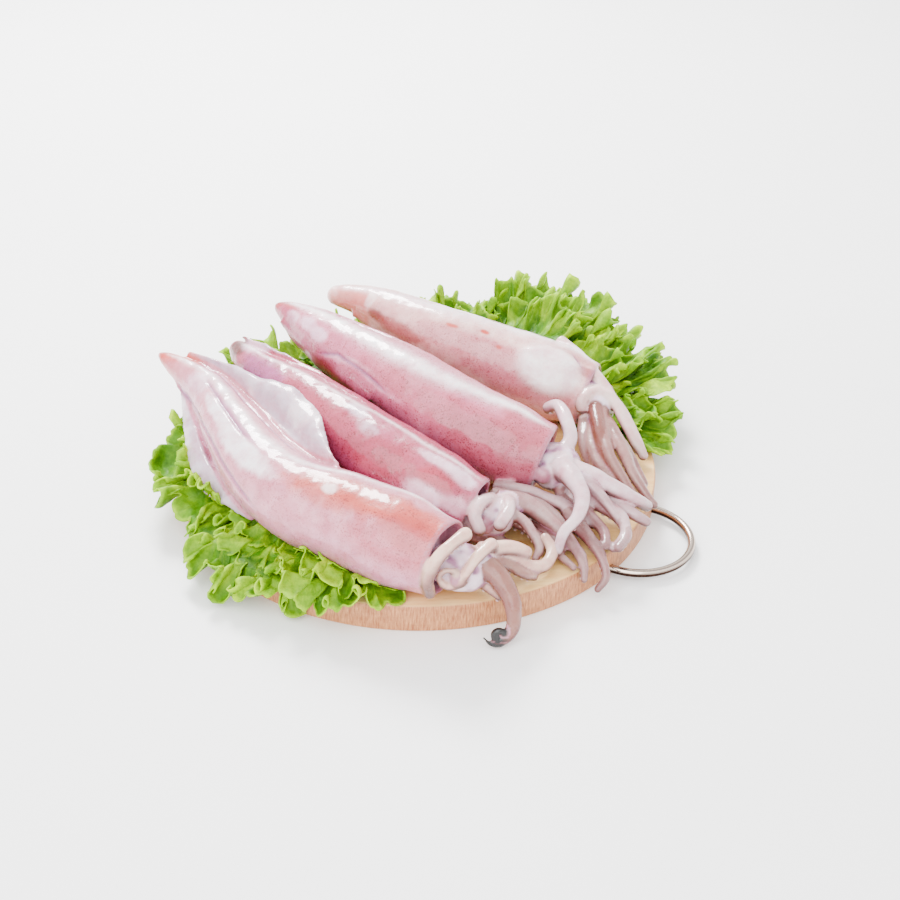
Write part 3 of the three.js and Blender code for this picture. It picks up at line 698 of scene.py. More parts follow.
def add_head(work, head):
    line = Line(head["line"])
    rings = []
    shares, widths = zip(*HEAD_SHAPE)
    for share in np.linspace(shares[0], 1, HEAD_RINGS):
        width = max(np.interp(share, shares, widths), 0.03)
        rings.append((share * line.length, width * head["radius"]))
    add_tube(work, line, rings, HEAD_SIDES, True)
    middle = line.place(line.length * EYE_PLACE)
    side = unit(np.cross(line.direction(line.length * EYE_PLACE), UP))
    turns = np.linspace(0, math.pi, EYE_RINGS)
    for hand in (1, -1):
        centre = middle + side * hand * (head["radius"] - EYE_RADIUS * 0.35) + UP * EYE_RADIUS * 0.3
        ball = Line([centre - side * EYE_RADIUS, centre + side * EYE_RADIUS])
        rings = [(EYE_RADIUS * (1 - math.cos(turn)), max(EYE_RADIUS * math.sin(turn), 0.1))
                 for turn in turns]
        add_tube(work, ball, rings, EYE_SIDES, False)


def arm_radius(arm, share):
    return lerp(arm["root"], arm["tip"], share ** arm.get("full", 1))


# An arm tapers to a round tip, a little uneven along its length.
def add_arm(work, arm, seed):
    line = Line(arm["line"])
    steps = max(int(line.length / ARM_STEP), 10)
    rings = [(-arm["root"] * 0.5, 0.3)]
    for step in range(steps + 1):
        share = step / steps
        uneven = 1 + 0.06 * noise.noise(Vector((share * line.length / 9, seed, 0)))
        rings.append((share * line.length, arm_radius(arm, share) * uneven))
    tip = arm["tip"]
    rings += [(line.length + tip * 0.35, tip * 0.86), (line.length + tip * 0.62, tip * 0.55)]
    rings.append((line.length + tip * 0.8, 0.25))
    add_tube(work, line, rings, ARM_SIDES, False)


def on_mantle(squid, spine, share, degrees, stand):
    way = spine.direction(share * spine.length)
    side = unit(np.cross(way, UP))
    up = np.cross(side, way)
    angle = math.radians(degrees)
    radius = mantle_radius(squid, share) + stand
    return (spine.place(share * spine.length) + side * radius * math.cos(angle)
            + up * radius * MANTLE_HEIGHT_SHARE * math.sin(angle))


# A fin is a thin sheet from the mantle to a free wavy edge, or wrapped round the mantle.
def add_fin(work, squid, spine, fin):
    rim = Line(fin["edge"]) if "edge" in fin else None
    middle = np.empty((FIN_COLUMNS, FIN_ROWS, 3))
    for i in range(FIN_COLUMNS):
        t = i / (FIN_COLUMNS - 1)
        share = lerp(fin["from"], fin["to"], t)
        for j in range(FIN_ROWS):
            w = j / (FIN_ROWS - 1)
            ripple = 0.9 * w * w * math.sin(26 * t + 2 * w + fin["rootAngle"])
            ripple += 0.5 * w**3 * math.sin(61 * t)
            if rim is None:
                reach = fin["wrap"] * math.sin(math.pi * lerp(0.06, 0.94, t)) ** 0.7
                stand = 1.1 - 2.6 * (1 - w) ** 3 + 0.5 * ripple + 0.5 * w * w
                middle[i, j] = on_mantle(squid, spine, share, fin["rootAngle"] + reach * w, stand)
            else:
                root = on_mantle(squid, spine, share, fin["rootAngle"], -3)
                spot = lerp(root, rim.place(t * rim.length), w)
                valley = -5 * math.exp(-((w - 0.28) / 0.12) ** 2) * math.sin(math.pi * t)
                middle[i, j] = spot + UP * (fin["bulge"] * math.sin(math.pi * w) + valley + ripple)
    made = add_surface(work, middle)
    work.normal_update()
    for vert in made:
        vert.co += vert.normal * FIN_THICKNESS / 2
    faces = list({face for vert in made for face in vert.link_faces})
    bmesh.ops.solidify(work, geom=faces, thickness=FIN_THICKNESS)


# Suckers are small cups in two rows along the inner side of an arm.
CUP_OUTLINE = [(0.7, 0), (1.02, 0.5), (1, 0.95), (0.72, 1), (0.5, 0.6), (0.1, 0.45)]


def add_suckers(work, cup, arm):
    line = Line(arm["line"])
    distance = arm["root"] * 1.6
    row = 1
    while distance < line.length:
        radius = arm_radius(arm, distance / line.length)
        way = line.direction(distance)
        spot = line.place(distance)
        level = math.hypot(way[0], way[1])
        inner = -UP * level - unit(spot * (1, 1, 0)) * (1 - level)
        inner = unit(inner - way * way.dot(inner))
        face = unit(inner + np.cross(way, inner) * row * 0.5)
        centre = spot + face * (radius * 0.84)
        if math.hypot(centre[0], centre[1]) > BOARD_RADIUS or centre[2] - radius > REST_HEIGHT + 1:
            turned = Vector(face).to_track_quat("Z", "Y").to_matrix().to_4x4()
            copy = cup.copy()
            copy.transform(Matrix.Translation(centre) @ turned @ Matrix.Scale(radius * 0.27, 4))
            work.from_mesh(copy)
            bpy.data.meshes.remove(copy)
        distance += radius * 0.62
        row = -row


# Where each point of a squid lies: its share along the mantle, its angle round it from the near
# side up, its height off the mantle, and its distances from the head and the arms.
def survey(squid, spine, arms, spots):
    tree = KDTree(SPINE_MARKS)
    marks = np.linspace(0, spine.length, SPINE_MARKS)
    centres = np.array([spine.place(m) for m in marks])
    ways = np.array([spine.direction(m) for m in marks])
    for k, centre in enumerate(centres):
        tree.insert(centre, k)
    tree.balance()
    nearest = np.array([tree.find(spot)[1] for spot in spots])
    share = nearest / (SPINE_MARKS - 1)
    side = np.cross(ways, UP)
    side /= np.linalg.norm(side, axis=1)[:, None]
    up = np.cross(side, ways)
    out = spots - centres[nearest]
    x = np.einsum("ij,ij->i", out, side[nearest])
    z = np.einsum("ij,ij->i", out, up[nearest])
    angle = np.degrees(np.arctan2(z, x))
    stand = np.hypot(x, z) - mantle_radius(squid, share)
    past = np.einsum("ij,ij->i", out, ways[nearest])
    limbs = KDTree(len(arms) * ARM_MARKS)
    radii, places = [], []
    for number, arm in enumerate(arms):
        line = Line(arm["line"])
        for k in range(ARM_MARKS):
            place = k / (ARM_MARKS - 1)
            limbs.insert(line.place(place * line.length), number * ARM_MARKS + k)
            radii.append(arm_radius(arm, place))
            places.append(place)
    limbs.balance()
    found = [limbs.find(spot) for spot in spots]
    limb = np.array([f[1] for f in found])
    gap = np.array([f[2] for f in found]) - np.array(radii)[limb]
    head = Line(squid["head"]["line"])
    axis = np.array([head.place(k / (HEAD_MARKS - 1) * head.length) for k in range(HEAD_MARKS)])
    to_axis = np.min(np.linalg.norm(spots[:, None, :] - axis[None], axis=2), axis=1)
    return {"share": share, "angle": angle, "stand": stand, "past": past, "arm_gap": gap,
            "arm_place": np.array(places)[limb], "arm": limb // ARM_MARKS,
            "head_gap": to_axis - squid["head"]["radius"]}


# A soft-edged oval patch on the mantle, in millimetres along and round it.
def patch(squid, spine, where, share, angle, length, width, ragged):
    along = (where["share"] - share) * spine.length / length
    turn = (where["angle"] - angle + 180) % 360 - 180
    around = np.radians(turn) * np.maximum(mantle_radius(squid, where["share"]), 3) / width
    return smoothstep(1.25, 0.6, np.hypot(along, around) + 0.26 * ragged)


def round_angle(where):
    return (where["angle"] + 90) % 360 - 90


# Soft lines along the mantle, each given as rows of (share, angle), about a millimetre wide.
# The mantle sinks along these lines and they carry painted shade.
def crease_mask(squid, where):
    mask = np.zeros(len(where["share"]))
    for rows in SKIN[squid["name"]].get("creases", []):
        shares, angles = zip(*rows)
        off = np.radians(round_angle(where) - np.interp(where["share"], shares, angles))
        off = off * np.maximum(mantle_radius(squid, where["share"]), 4)
        ends = smoothstep(shares[0], shares[0] + 0.04, where["share"])
        ends = ends * smoothstep(shares[-1], shares[-1] - 0.06, where["share"])
        mask = np.maximum(mask, np.exp(-((off / 1.3) ** 2)) * ends)
    return mask


# Raised ovals on the mantle, which are also painted white as a highlight.
def bulge_mask(squid, spine, where):
    rows = SKIN[squid["name"]].get("bulges", [])
    calm = np.zeros(len(where["share"]))
    masks = [patch(squid, spine, where, *row, calm) for row in rows]
    return np.max(masks, axis=0) if masks else calm


def squid_colours(squid, spine, arms, where, spots, normals):
    name = squid["name"]
    slow = noise_at(spots, 26, 1)
    rough = noise_at(spots, 7, 2)
    fine = noise_at(spots, 3.2, 3)
    ragged = 0.6 * rough + 0.5 * fine
    looks = SKIN[name]
    colours = np.tile(linear(*looks["base"]), (len(spots), 1))
    speckle = np.full(len(spots), looks["speckle"])
    angle = round_angle(where)
    low = smoothstep(looks["low_from"], looks["low_to"], angle + 12 * slow)
    low = np.maximum(low, smoothstep(140, 185, angle + 12 * slow))
    colours = blend(colours, linear(*looks["low"]), low * 0.85)
    colours = blend(colours, linear(*looks["mottle"]), smoothstep(-0.1, 0.5, slow + 0.4 * rough) * 0.55)
    for share, turn, length, width, colour, strength, dots in looks["patches"]:
        mask = patch(squid, spine, where, share, turn, length, width, ragged) * strength
        colours = blend(colours, linear(*colour), mask)
        speckle = speckle + (dots - speckle) * mask
    # Painted highlight: a white line along the top ridge of the mantle, with fewer speckles under it.
    shares, angles, widths = zip(*looks["ridge_rows"])
    off_ridge = angle - np.interp(where["share"], shares, angles) + 3 * slow + 1.5 * rough
    ridge_highlight = np.exp(-(off_ridge / np.interp(where["share"], shares, widths)) ** 2)
    ridge_highlight = ridge_highlight * smoothstep(0.0, 0.1, where["share"]) * smoothstep(1.02, 0.94, where["share"])
    # Painted highlight: the bulges are painted white, with no speckles.
    bulge = bulge_mask(squid, spine, where)
    colours = blend(colours, linear(252, 249, 248), bulge)
    speckle = speckle * (1 - bulge)
    colours = blend(colours, linear(254, 250, 252), ridge_highlight * looks["ridge_highlight"])
    speckle = speckle * (1 - 0.85 * ridge_highlight * looks["ridge_highlight"])
    fin = smoothstep(1.6, 3.2, where["stand"]) * smoothstep(0.72, 0.6, where["share"])
    fin = fin * smoothstep(0.07, 0.14, where["share"])
    colours = blend(colours, linear(*looks["fin"]), fin * 0.9)
    colours = blend(colours, linear(250, 248, 250), fin * smoothstep(0.1, 0.5, slow + 0.3 * rough) * 0.6)
    speckle = speckle * (1 - 0.85 * fin)
    # Painted shade: the creases are painted darker.
    colours = blend(colours, linear(186, 140, 176), crease_mask(squid, where) * 0.8)
    front = smoothstep(-0.6, 0.6, where["past"]) * (where["share"] > 0.99)
    inner = smoothstep(-2.2, -3.4, where["stand"]) * (where["share"] > 0.9)
    outer = smoothstep(0.8, 1.8, where["stand"]) * smoothstep(1.6, 0.6, where["arm_gap"])
    outer = outer * (where["share"] > 0.72)
    off_mantle = np.max([front, inner, outer], axis=0)
    head = off_mantle * smoothstep(2.5, -1.0, where["head_gap"])
    colours = blend(colours, linear(204, 164, 178), off_mantle)
    colours = blend(colours, linear(240, 228, 236), head)
    speckle = speckle * (1 - 0.9 * off_mantle)
    blot = head * smoothstep(-0.1, 0.3, rough + 0.5 * slow)
    colours = blend(colours, linear(188, 120, 170), blot * 0.75)
    colours = blend(colours, linear(120, 70, 112), head * smoothstep(0.35, 0.6, rough + 0.5 * fine) * 0.6)
    near_arm = off_mantle * smoothstep(1.8, 0.2, where["arm_gap"])
    warm = np.array([ARM_WARMTH[name][int(a) % len(ARM_WARMTH[name])] for a in where["arm"]])
    pale, brown = linear(*PALE_ARMS[name]), linear(160, 104, 86)
    arm_colour = pale + (brown - pale) * warm[:, None]
    colours = colours + (arm_colour - colours) * near_arm[:, None]
    along = np.column_stack([normals[:, 2] * 2.4, where["arm_place"] * 3, where["arm"] * 5.1])
    streak = near_arm * smoothstep(0.0, 0.35, noise_at(along, 1.0)) * (0.15 + 0.55 * warm)
    colours = blend(colours, linear(136, 80, 80), streak * 0.7)
    # Painted shade: the arms are painted darker where they face down, darkest right underneath.
    under = near_arm * smoothstep(0.5, -0.3, normals[:, 2])
    colours = blend(colours, linear(158, 102, 100), under * 0.85)
    colours = blend(colours, linear(88, 50, 46), near_arm * smoothstep(0.05, -0.6, normals[:, 2]) * 0.75)
    tips = near_arm * smoothstep(0.8, 1.0, where["arm_place"]) * 0.3
    colours = blend(colours, linear(120, 76, 70), tips)
    dark_from = np.array([arms[int(a)].get("dark_from", 2) for a in where["arm"]])
    dark = near_arm * smoothstep(0.0, 0.08, where["arm_place"] - dark_from)
    colours = blend(colours, linear(26, 12, 8), dark)
    return np.clip(colours, 0, 1), np.clip(speckle, 0, 1)


# Skin colours. A ridge row is (share, angle, half width) of the top ridge and of the painted
# highlight along it; a patch is (share, angle, length, width, colour, strength, speckle).
SKIN = {
    "squid_1": {
        "base": (232, 184, 196), "low": (222, 172, 194), "low_from": 30, "low_to": -30,
        "mottle": (226, 176, 192), "speckle": 0.5, "fin": (216, 208, 218), "crest": 0.9,
        "creases": [[(0.1, -10), (0.14, -8), (0.3, 14), (0.44, 20), (0.52, 16), (0.62, 2)],
                    [(0.12, 110), (0.17, 122), (0.34, 118), (0.48, 128), (0.6, 116)],
                    [(0.2, 74), (0.34, 72), (0.5, 74)]],
        "ridge_highlight": 0.95,
        "ridge_rows": [(0.1, 92, 14), (0.45, 92, 10), (0.6, 98, 7), (0.7, 106, 6), (1, 128, 6)],
        "patches": [
            (0.86, 76, 64, 11, (222, 118, 98), 0.85, 1.0), (0.97, 66, 30, 18, (218, 124, 112), 0.7, 1.0),
            (0.76, 62, 36, 9, (224, 140, 122), 0.6, 0.9), (0.93, 34, 34, 14, (220, 146, 158), 0.6, 0.9),
            (0.03, 60, 30, 34, (226, 126, 104), 0.95, 0.2), (0.12, 74, 10, 6, (206, 110, 112), 0.7, 0.3),
            (0.2, 56, 14, 7, (244, 232, 240), 0.8, 0.0), (0.34, 58, 20, 5, (250, 246, 250), 0.95, 0.0),
            (0.49, 56, 34, 8, (250, 247, 250), 0.95, 0.0), (0.25, 96, 20, 4, (206, 150, 178), 0.8, 0.2),
            (0.4, 78, 34, 4, (204, 146, 178), 0.75, 0.3), (0.5, 84, 16, 3, (208, 150, 180), 0.7, 0.3),
            (0.74, 70, 6, 4, (250, 240, 240), 0.8, 0.0), (0.15, 20, 30, 12, (226, 186, 200), 0.6, 0.2),
        ],
    },
    "squid_2": {
        "base": (208, 126, 154), "low": (190, 112, 146), "low_from": 50, "low_to": -20,
        "mottle": (214, 132, 154), "speckle": 1.0, "fin": (196, 184, 200), "crest": 0.4,
        "ridge_highlight": 0.75,
        "ridge_rows": [(0.06, 92, 7), (0.2, 90, 5), (0.4, 88, 4), (0.64, 102, 4), (0.93, 98, 5), (1, 98, 5)],
        "patches": [
            (0.02, 70, 16, 20, (190, 76, 84), 0.9, 0.4), (0.05, 60, 9, 8, (140, 66, 56), 0.95, 0.3),
            (0.1, 110, 12, 8, (236, 214, 226), 0.8, 0.1), (0.22, 50, 24, 10, (194, 128, 176), 0.75, 0.6),
            (0.59, 84, 9, 5, (224, 208, 220), 0.95, 0.1), (0.66, 66, 8, 5, (226, 208, 218), 0.95, 0.1),
            (0.72, 40, 36, 12, (202, 106, 130), 0.6, 1.0), (0.5, 60, 30, 8, (204, 114, 138), 0.5, 1.0),
            (0.89, 26, 13, 7, (244, 226, 236), 0.95, 0.1), (0.87, 82, 12, 4, (240, 220, 230), 0.9, 0.2),
            (0.94, 78, 12, 6, (244, 226, 236), 0.9, 0.1), (0.97, 30, 8, 6, (238, 212, 224), 0.8, 0.3),
            (0.9, 56, 12, 7, (206, 90, 116), 0.7, 1.0),
        ],
    },
    "squid_3": {
        "base": (226, 162, 184), "low": (202, 138, 164), "low_from": 34, "low_to": -22,
        "mottle": (230, 172, 188), "speckle": 0.9, "fin": (206, 130, 160), "crest": 0.3,
        "creases": [[(0.28, 4), (0.36, 26), (0.46, 24), (0.58, 14)], [(0.22, 116), (0.36, 112), (0.5, 116)]],
        "ridge_highlight": 1.0,
        "ridge_rows": [(0.04, 90, 10), (0.19, 92, 14), (0.48, 78, 17), (0.67, 82, 15), (0.83, 98, 11),
                       (0.93, 96, 8), (1, 96, 5)],
        "patches": [
            (0.0, 60, 24, 60, (206, 76, 70), 0.95, 0.2),
            (0.12, 40, 8, 4, (246, 230, 240), 0.9, 0.0), (0.2, 46, 9, 5, (244, 220, 234), 0.85, 0.1),
            (0.26, 40, 9, 5, (244, 222, 236), 0.8, 0.1),
            (0.33, -14, 13, 7, (168, 84, 92), 0.9, 0.5), (0.41, -26, 18, 7, (160, 80, 92), 0.9, 0.5),
            (0.24, -24, 5, 4, (252, 242, 248), 0.95, 0.0), (0.45, 28, 16, 2.5, (242, 204, 218), 0.8, 0.2),
            (0.55, 18, 16, 2.5, (238, 190, 208), 0.8, 0.2), (0.36, 20, 10, 3, (240, 200, 216), 0.7, 0.2),
            (0.7, 44, 60, 12, (218, 132, 154), 0.6, 1.0), (0.9, 20, 40, 20, (202, 128, 146), 0.8, 1.0),
            (0.94, 70, 20, 16, (216, 140, 156), 0.7, 1.0), (0.08, 20, 14, 8, (204, 124, 162), 0.6, 0.6),
        ],
    },
    "squid_4": {
        "base": (244, 220, 216), "low": (234, 192, 194), "low_from": 60, "low_to": 0,
        "mottle": (234, 194, 192), "speckle": 0.35, "fin": (236, 214, 212), "crest": 0.2,
        # The bulge near the mouth carries a painted white highlight.
        "bulges": [(0.86, 50, 22, 17)], "creases": [[(0.9, 96), (0.94, 84), (0.99, 66)]],
        "ridge_highlight": 0.85,
        "ridge_rows": [(0.05, 70, 12), (0.3, 92, 18), (0.6, 104, 16), (0.9, 116, 16), (1, 120, 14)],
        "patches": [
            (0.03, 50, 12, 9, (252, 244, 242), 0.9, 0.0), (0.1, 10, 22, 14, (230, 158, 146), 0.8, 0.2),
            (0.18, 52, 4, 9, (252, 244, 240), 0.85, 0.0),
            (0.23, 16, 9, 4, (168, 104, 84), 0.85, 0.4), (0.33, 12, 22, 6, (196, 116, 108), 0.7, 0.5),
            (0.62, 40, 50, 9, (226, 168, 178), 0.7, 0.8), (0.74, 6, 40, 9, (212, 146, 162), 0.7, 0.8),
            # The white oval at share 0.86 is a painted highlight on the same bulge.
            (0.86, 48, 21, 13, (252, 249, 248), 1.0, 0.0), (0.985, 70, 7, 5, (190, 112, 112), 0.8, 0.5),
            (0.93, 96, 16, 6, (206, 140, 138), 0.6, 0.4),
            (0.49, 62, 4, 1.6, (222, 120, 92), 0.9, 0.3), (0.59, 70, 3.5, 1.8, (222, 110, 84), 0.95, 0.3),
            (0.66, 52, 2.5, 1.5, (222, 120, 96), 0.8, 0.3),
        ],
    },
}

# How brown each arm is, from 0 for pale to 1
ARM_WARMTH = {
    "squid_1": [0.05, 0.02, 0.12, 0.05, 0.84, 0.3, 0.6, 0.9],
    "squid_2": [0.12, 0.05, 0.65, 0.7, 0.6, 0.6, 0.8, 0.85],
    "squid_3": [0.08, 0.15, 0.1, 0.45, 0.65, 0.75, 0.8, 0.4, 0.55, 0.4, 0.8],
    "squid_4": [0.75, 0.8, 0.75, 0.05, 0.95, 0.85, 0.6, 0.0],
}

# The colour of the palest arms
PALE_ARMS = {"squid_1": (242, 220, 206), "squid_2": (240, 226, 226), "squid_3": (240, 226, 230),
             "squid_4": (242, 226, 222)}


def make_squid(squid, cup, look):
    name = squid["name"]
    spine = Line(squid["spine"])
    arms = [CURLS.get((name, number), arm) for number, arm in enumerate(squid["arms"])] + EXTRA_ARMS[name]
    work = bmesh.new()
    add_mantle(work, squid, spine)
    add_head(work, squid["head"])
    for number, arm in enumerate(arms):
        add_arm(work, arm, number)
    for fin in squid["fins"]:
        add_fin(work, squid, spine, fin)
    mesh = shaped(finished(name, work), [("REMESH", {"mode": "VOXEL", "voxel_size": SKIN_VOXEL}),
                                         ("SMOOTH", {"factor": 0.5, "iterations": 5})])
    spots = points_of(mesh)
    where = survey(squid, spine, arms, spots)
    normals = np.empty(len(mesh.vertices) * 3)
    mesh.vertices.foreach_get("normal", normals)
    normals = normals.reshape(-1, 3)
    soft = 0.7 * noise_at(spots, 24, 4) + 0.35 * noise_at(spots, 9, 5) + 0.12 * noise_at(spots, 3.5, 6)
    wrinkle = np.sin(where["share"] * spine.length / 2.1 + 3 * noise_at(spots, 12, 7))
    tail = smoothstep(0.6, 0.2, where["share"]) * smoothstep(0.04, 0.12, where["share"])
    shares, angles, _ = zip(*SKIN[name]["ridge_rows"])
    off_ridge = where["angle"] - np.interp(where["share"], shares, angles)
    crest = np.exp(-(off_ridge / 9) ** 2) * tail * SKIN[name]["crest"]
    calm = smoothstep(0.0, 2.0, where["stand"])
    height = soft * (1 - 0.5 * calm) + crest * (0.7 + 0.45 * wrinkle)
    height = height - 1.3 * crease_mask(squid, where) + 2.0 * bulge_mask(squid, spine, where)
    spots = spots + normals * height[:, None]
    over_board = np.hypot(spots[:, 0], spots[:, 1]) < BOARD_RADIUS + 2
    spots[:, 2] = np.where(over_board, np.maximum(spots[:, 2], REST_HEIGHT - 0.2), spots[:, 2])
    move_points(mesh, spots)
    colours, speckle = squid_colours(squid, spine, arms, where, spots, normals)
    work = bmesh.new()
    for arm in arms:
        if not arm.get("smooth"):
            add_suckers(work, cup, arm)
    cups = finished("cups", work)
    colours = np.vstack([colours, np.tile(linear(222, 200, 196), (len(cups.vertices), 1))])
    speckle = np.concatenate([speckle, np.zeros(len(cups.vertices))])
    work = bmesh.new()
    work.from_mesh(mesh)
    work.from_mesh(cups)
    work.to_mesh(mesh)
    work.free()
    outward(mesh)
    paint(mesh, "tint", colours)
    paint(mesh, "speckle", speckle)
    return piece_from(name + "_visual", mesh, look, name)


# Lettuce
BED_CENTRE = np.array([-45.0, 35.0])
BED_HEADING = 37
BED_TURN = math.radians(BED_HEADING)
BED_HALF_LENGTH = 98
BED_HALF_WIDTH = 62
BED_HEIGHT = 35
BED_TILT = 0.45


# The height of the heap under the tails above the board.
def heap_height(x, y):
    across, out = x - BED_CENTRE[0], y - BED_CENTRE[1]
    lengthwise = (across * math.cos(BED_TURN) + out * math.sin(BED_TURN)) / BED_HALF_LENGTH
    sideways = (-across * math.sin(BED_TURN) + out * math.cos(BED_TURN)) / BED_HALF_WIDTH
    reach = np.hypot(lengthwise, sideways)
    dome = np.clip(1 - reach**2, 0, 1) ** 0.75
    return BED_HEIGHT * dome * (1 + BED_TILT * lengthwise)


LEAF_THICKNESS = 0.75
LEAF_GRID = (200, 41)
BED_GRID = (140, 34)

# The lobes of a leaf's margin, each as (width, depth, fullness)
LOBES = [(30, 0.13, 0.42), (12, 0.055, 0.45), (5, 0.035, 0.5)]

# The layers inside a leaf, each as (reach, lift, turn, spread, rise) against the outer one
INNER_LAYERS = [(0.84, 4, 7, 0.95, 1), (0.66, 8, -6, 0.9, 2)]

# Where each leaf grows from, where it points and how far, and how it rises
LEAVES = [
    {"base": (-70, -12), "heading": 195, "spread": 80, "reach": 98, "lift": 2, "rise": 9, "tilt": -8},
    {"base": (-56, -50), "heading": 232, "spread": 70, "reach": 100, "lift": 3, "rise": -9, "tilt": 0},
    {"base": (-32, -76), "heading": 255, "spread": 72, "reach": 84, "lift": 4, "rise": 0, "tilt": 0},
    {"base": (-62, 42), "heading": 152, "spread": 62, "reach": 88, "lift": 4, "rise": 20, "tilt": 0},
    {"base": (-26, 62), "heading": 112, "spread": 70, "reach": 86, "lift": 3, "rise": 14, "tilt": 0},
    {"base": (18, 82), "heading": 77, "spread": 58, "reach": 94, "lift": 2, "rise": 22, "tilt": 0},
    {"base": (44, 74), "heading": 49, "spread": 58, "reach": 118, "lift": 6, "rise": 24, "tilt": 0},
    {"base": (66, 54), "heading": 30, "spread": 56, "reach": 116, "lift": 2, "rise": 14, "tilt": 0},
    {"base": (86, 36), "heading": 4, "spread": 64, "reach": 88, "lift": 4, "rise": -2, "tilt": 0},
]


# Rounded lobes with narrow valleys between them, from 0 in a valley to 1 on a lobe.
def scallops(where, count, phase, fullness):
    return np.abs(np.sin(math.pi * count * where / 2 + phase)) ** fullness


def noise_grid(a, b, seed):
    values = [noise.noise(Vector((p, q, seed))) for p, q in zip(a.ravel(), b.ravel())]
    return np.array(values).reshape(a.shape)


# A frilly leaf over what it lies on: a lobed blade whose margin waves and rolls over.
def frilly_leaf(leaf, seed, on_heap, columns, rows):
    phases = np.random.default_rng(seed).uniform(0, 2 * math.pi, 8)
    turn = np.linspace(-1, 1, columns)[:, None] * np.ones((1, rows))
    out = np.ones((columns, 1)) * (np.linspace(0.06, 1, rows) ** 0.75)[None, :]
    margin = math.radians(leaf["spread"]) * leaf["reach"]
    bent = turn + 0.25 * noise_grid(turn * 3, out * 2, seed + 0.5)
    lobes = np.zeros((columns, rows))
    for (width, depth, fullness), phase in zip(LOBES, phases):
        lobes += depth * (1 - scallops(bent, margin / width, phase, fullness))
    lobes += 0.035 * noise_grid(bent * margin / 5, 0 * out, seed + 30)
    distance = leaf["reach"] * out * (1.03 - 0.14 * turn**2 - lobes * out**3)
    heading = np.radians(leaf["heading"] + turn * leaf["spread"] / 2)
    size = leaf["reach"] / 90
    frill = smoothstep(0.5, 1.0, out)
    wide = noise_grid(bent * margin / 34, out * 1.5, seed + 10)
    main = math.pi * (bent * margin / 25 + 1.2 * out) + phases[3] + 6.0 * wide
    small = math.pi * (bent * margin / 9 - 2.0 * out) + phases[4] + 5 * wide
    roll = 1.9 * smoothstep(0.84, 1.0, out) * smoothstep(-0.3, 0.4, wide + 0.3 * np.cos(main))
    lean = size * (2.8 * frill**1.5 * np.cos(main) + 1.9 * frill**2.5 * np.cos(small))
    inward = size * (2.4 * (roll - np.sin(roll)) + 0.9 * frill**3 * (1 + np.sin(small)))
    distance = distance - inward
    x = leaf["base"][0] + distance * np.cos(heading) - lean * np.sin(heading)
    y = leaf["base"][1] + distance * np.sin(heading) + lean * np.cos(heading)
    blister = noise_grid(x / 12, y / 12, seed) + 0.6 * noise_grid(x / 5.5, y / 5.5, seed + 3)
    waves = size * (9 * frill * wide + 3.8 * frill**1.3 * np.sin(main) + 2.6 * frill**2.5 * np.sin(small))
    rolled = size * 3.0 * (1 - np.cos(roll))
    z = REST_HEIGHT + leaf["lift"] + (leaf["rise"] + leaf["tilt"] * turn) * out**1.6
    z = z + waves + rolled + 2.4 * blister * smoothstep(0.05, 0.4, out)
    if on_heap:
        z = z + heap_height(x, y)
    floor = np.where(np.hypot(x, y) < BOARD_RADIUS + 3, REST_HEIGHT + 0.6, 4.0)
    z = np.maximum(z, floor + 0.8 * np.abs(blister))
    rib = np.exp(-((turn * distance / 1.8) ** 2)) * smoothstep(1.0, 0.5, out)
    branch = np.abs(np.sin(math.pi * (3.6 * np.abs(bent) ** 0.8 - 2.6 * out) + phases[5]))
    vein = np.maximum(rib, smoothstep(0.14, 0.03, branch) * 0.8 * smoothstep(1.0, 0.75, out))
    # The edge value lightens the margin, the leaf's own colour, and also holds painted light and shade:
    # lighter on raised blisters and wave crests, darker in the troughs.
    edge = 0.5 * smoothstep(0.5, 0.9, out + 0.1 * wide) + 0.5 * smoothstep(0.96, 0.99, out)
    edge = edge + 0.3 * smoothstep(0.1, 0.6, blister) + 0.3 * frill * np.sin(main) - 0.12
    return np.dstack([x, y, z]), np.clip(edge, 0, 1), vein


# Leaves are pressed down where a squid lies over them.
def pressed(middle, above):
    flat = middle.reshape(-1, 3)
    for row in flat:
        start = Vector((row[0] * MM, row[1] * MM, (BOARD_THICKNESS + 0.2) * MM))
        hit = above.ray_cast(start, Vector((0, 0, 1)))[0]
        if hit is not None:
            under = hit[2] / MM
            row[2] = max(min(row[2], under - 1.1), min(REST_HEIGHT + 0.5, under - 0.6))
    return flat.reshape(middle.shape)


# Each layer is (leaf, seed, whether it lies on the heap).
def make_leaf(name, layers, above, look, grid):
    work = bmesh.new()
    edges, veins = [], []
    for layer in layers:
        middle, edge, vein = frilly_leaf(*layer, *grid)
        add_surface(work, pressed(middle, above))
        edges.append(edge.ravel())
        veins.append(vein.ravel())
    mesh = finished(name, work)
    paint(mesh, "edge", np.concatenate(edges))
    paint(mesh, "vein", np.concatenate(veins))
    mesh = shaped(mesh, [("SOLIDIFY", {"thickness": LEAF_THICKNESS * MM, "offset": 0})])
    outward(mesh)
    return piece_from(name + "_visual", mesh, look, name)


def smaller(leaf, reach, lift, turn, spread, rise):
    return dict(leaf, reach=leaf["reach"] * reach, lift=leaf["lift"] + lift, heading=leaf["heading"] + turn,
                spread=leaf["spread"] * spread, rise=leaf["rise"] + rise)


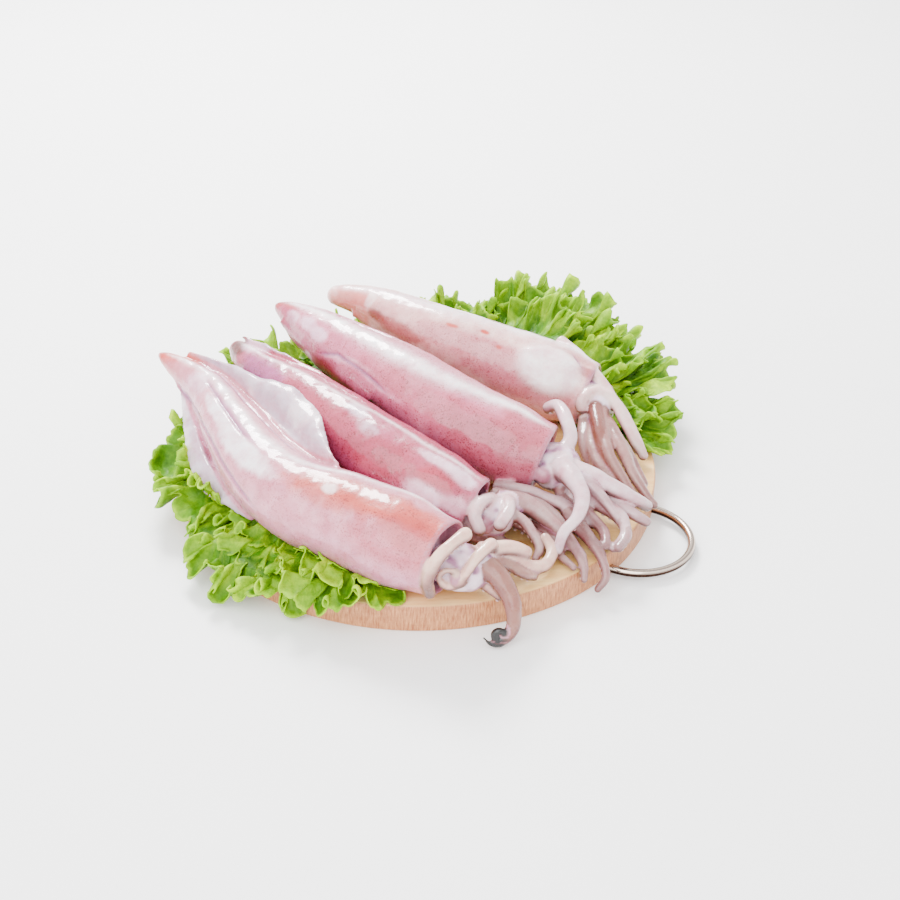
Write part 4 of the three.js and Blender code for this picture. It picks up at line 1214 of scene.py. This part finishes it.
def make_lettuce(squid_pieces, look):
    spots, faces = [], []
    for piece in squid_pieces:
        start = len(spots)
        spots.extend(v.co.copy() for v in piece.data.vertices)
        faces.extend([start + v for v in p.vertices] for p in piece.data.polygons)
    above = BVHTree.FromPolygons(spots, faces)
    for number, leaf in enumerate(LEAVES, 1):
        layers = [(leaf, number, False)]
        for depth, changes in enumerate(INNER_LAYERS, 1):
            layers.append((smaller(leaf, *changes), number + 20 * depth, False))
        make_leaf(f"leaf_{number}", layers, above, look, LEAF_GRID)
    heap = []
    for k in range(9):
        turn = 40 * k
        long = 0.5 + 0.5 * abs(math.cos(math.radians(turn)))
        leaf = {"base": tuple(BED_CENTRE), "heading": BED_HEADING + turn, "spread": 62,
                "reach": lerp(60, 92, long), "lift": 1.5 + k % 3, "rise": 0, "tilt": 0}
        heap.append((leaf, 61 + k, True))
    make_leaf("lettuce_bed", heap, above, look, BED_GRID)


# Studio lights, each as (name, place, size, power)
LIGHTS = [("back", (-0.3, 1.05, 1.1), 0.5, 66), ("front", (-0.6, -1.3, 1.3), 2.2, 60)]
LIGHT_AIM = (0, 0, 0.03)
SKY_STRENGTH = 2.3

# Camera in front, 34 degrees down
CAMERA_PLACE = (0, -0.8302, 0.5754)
CAMERA_AIM = (0, 0, 0.018)
CAMERA_LENS = 62.72
CAMERA_SHIFT = (0.0349, 0.0083)


def aimed(thing, place, aim):
    thing.location = place
    thing.rotation_euler = (Vector(aim) - Vector(place)).to_track_quat("-Z", "Y").to_euler()
    bpy.context.scene.collection.objects.link(thing)


def make_studio():
    bpy.ops.mesh.primitive_plane_add(size=8, location=(0, 0, 0))
    floor = bpy.context.object
    floor.name = "floor"
    floor.data.materials.append(floor_look())
    world = bpy.data.worlds.new("studio")
    bpy.context.scene.world = world
    world.use_nodes = True
    background = world.node_tree.nodes["Background"]
    background.inputs["Color"].default_value = (1, 1, 1, 1)
    background.inputs["Strength"].default_value = SKY_STRENGTH
    for name, place, size, power in LIGHTS:
        light = bpy.data.lights.new(name, "AREA")
        light.size = size
        light.energy = power
        aimed(bpy.data.objects.new(name, light), place, LIGHT_AIM)
    view = bpy.data.cameras.new("camera")
    view.sensor_width = 36
    view.lens = CAMERA_LENS
    view.shift_x, view.shift_y = CAMERA_SHIFT
    camera = bpy.data.objects.new("camera", view)
    aimed(camera, CAMERA_PLACE, CAMERA_AIM)
    bpy.context.scene.camera = camera


grain_group()
make_studio()
make_board(board_look())
make_handle(steel_look())
skin = skin_look()
cup_work = bmesh.new()
add_turned(cup_work, CUP_OUTLINE, 10)
cup = bpy.data.meshes.new("cup")
cup_work.to_mesh(cup)
cup_work.free()
squid_pieces = [make_squid(squid, cup, skin) for squid in SQUIDS]
make_lettuce(squid_pieces, lettuce_look())
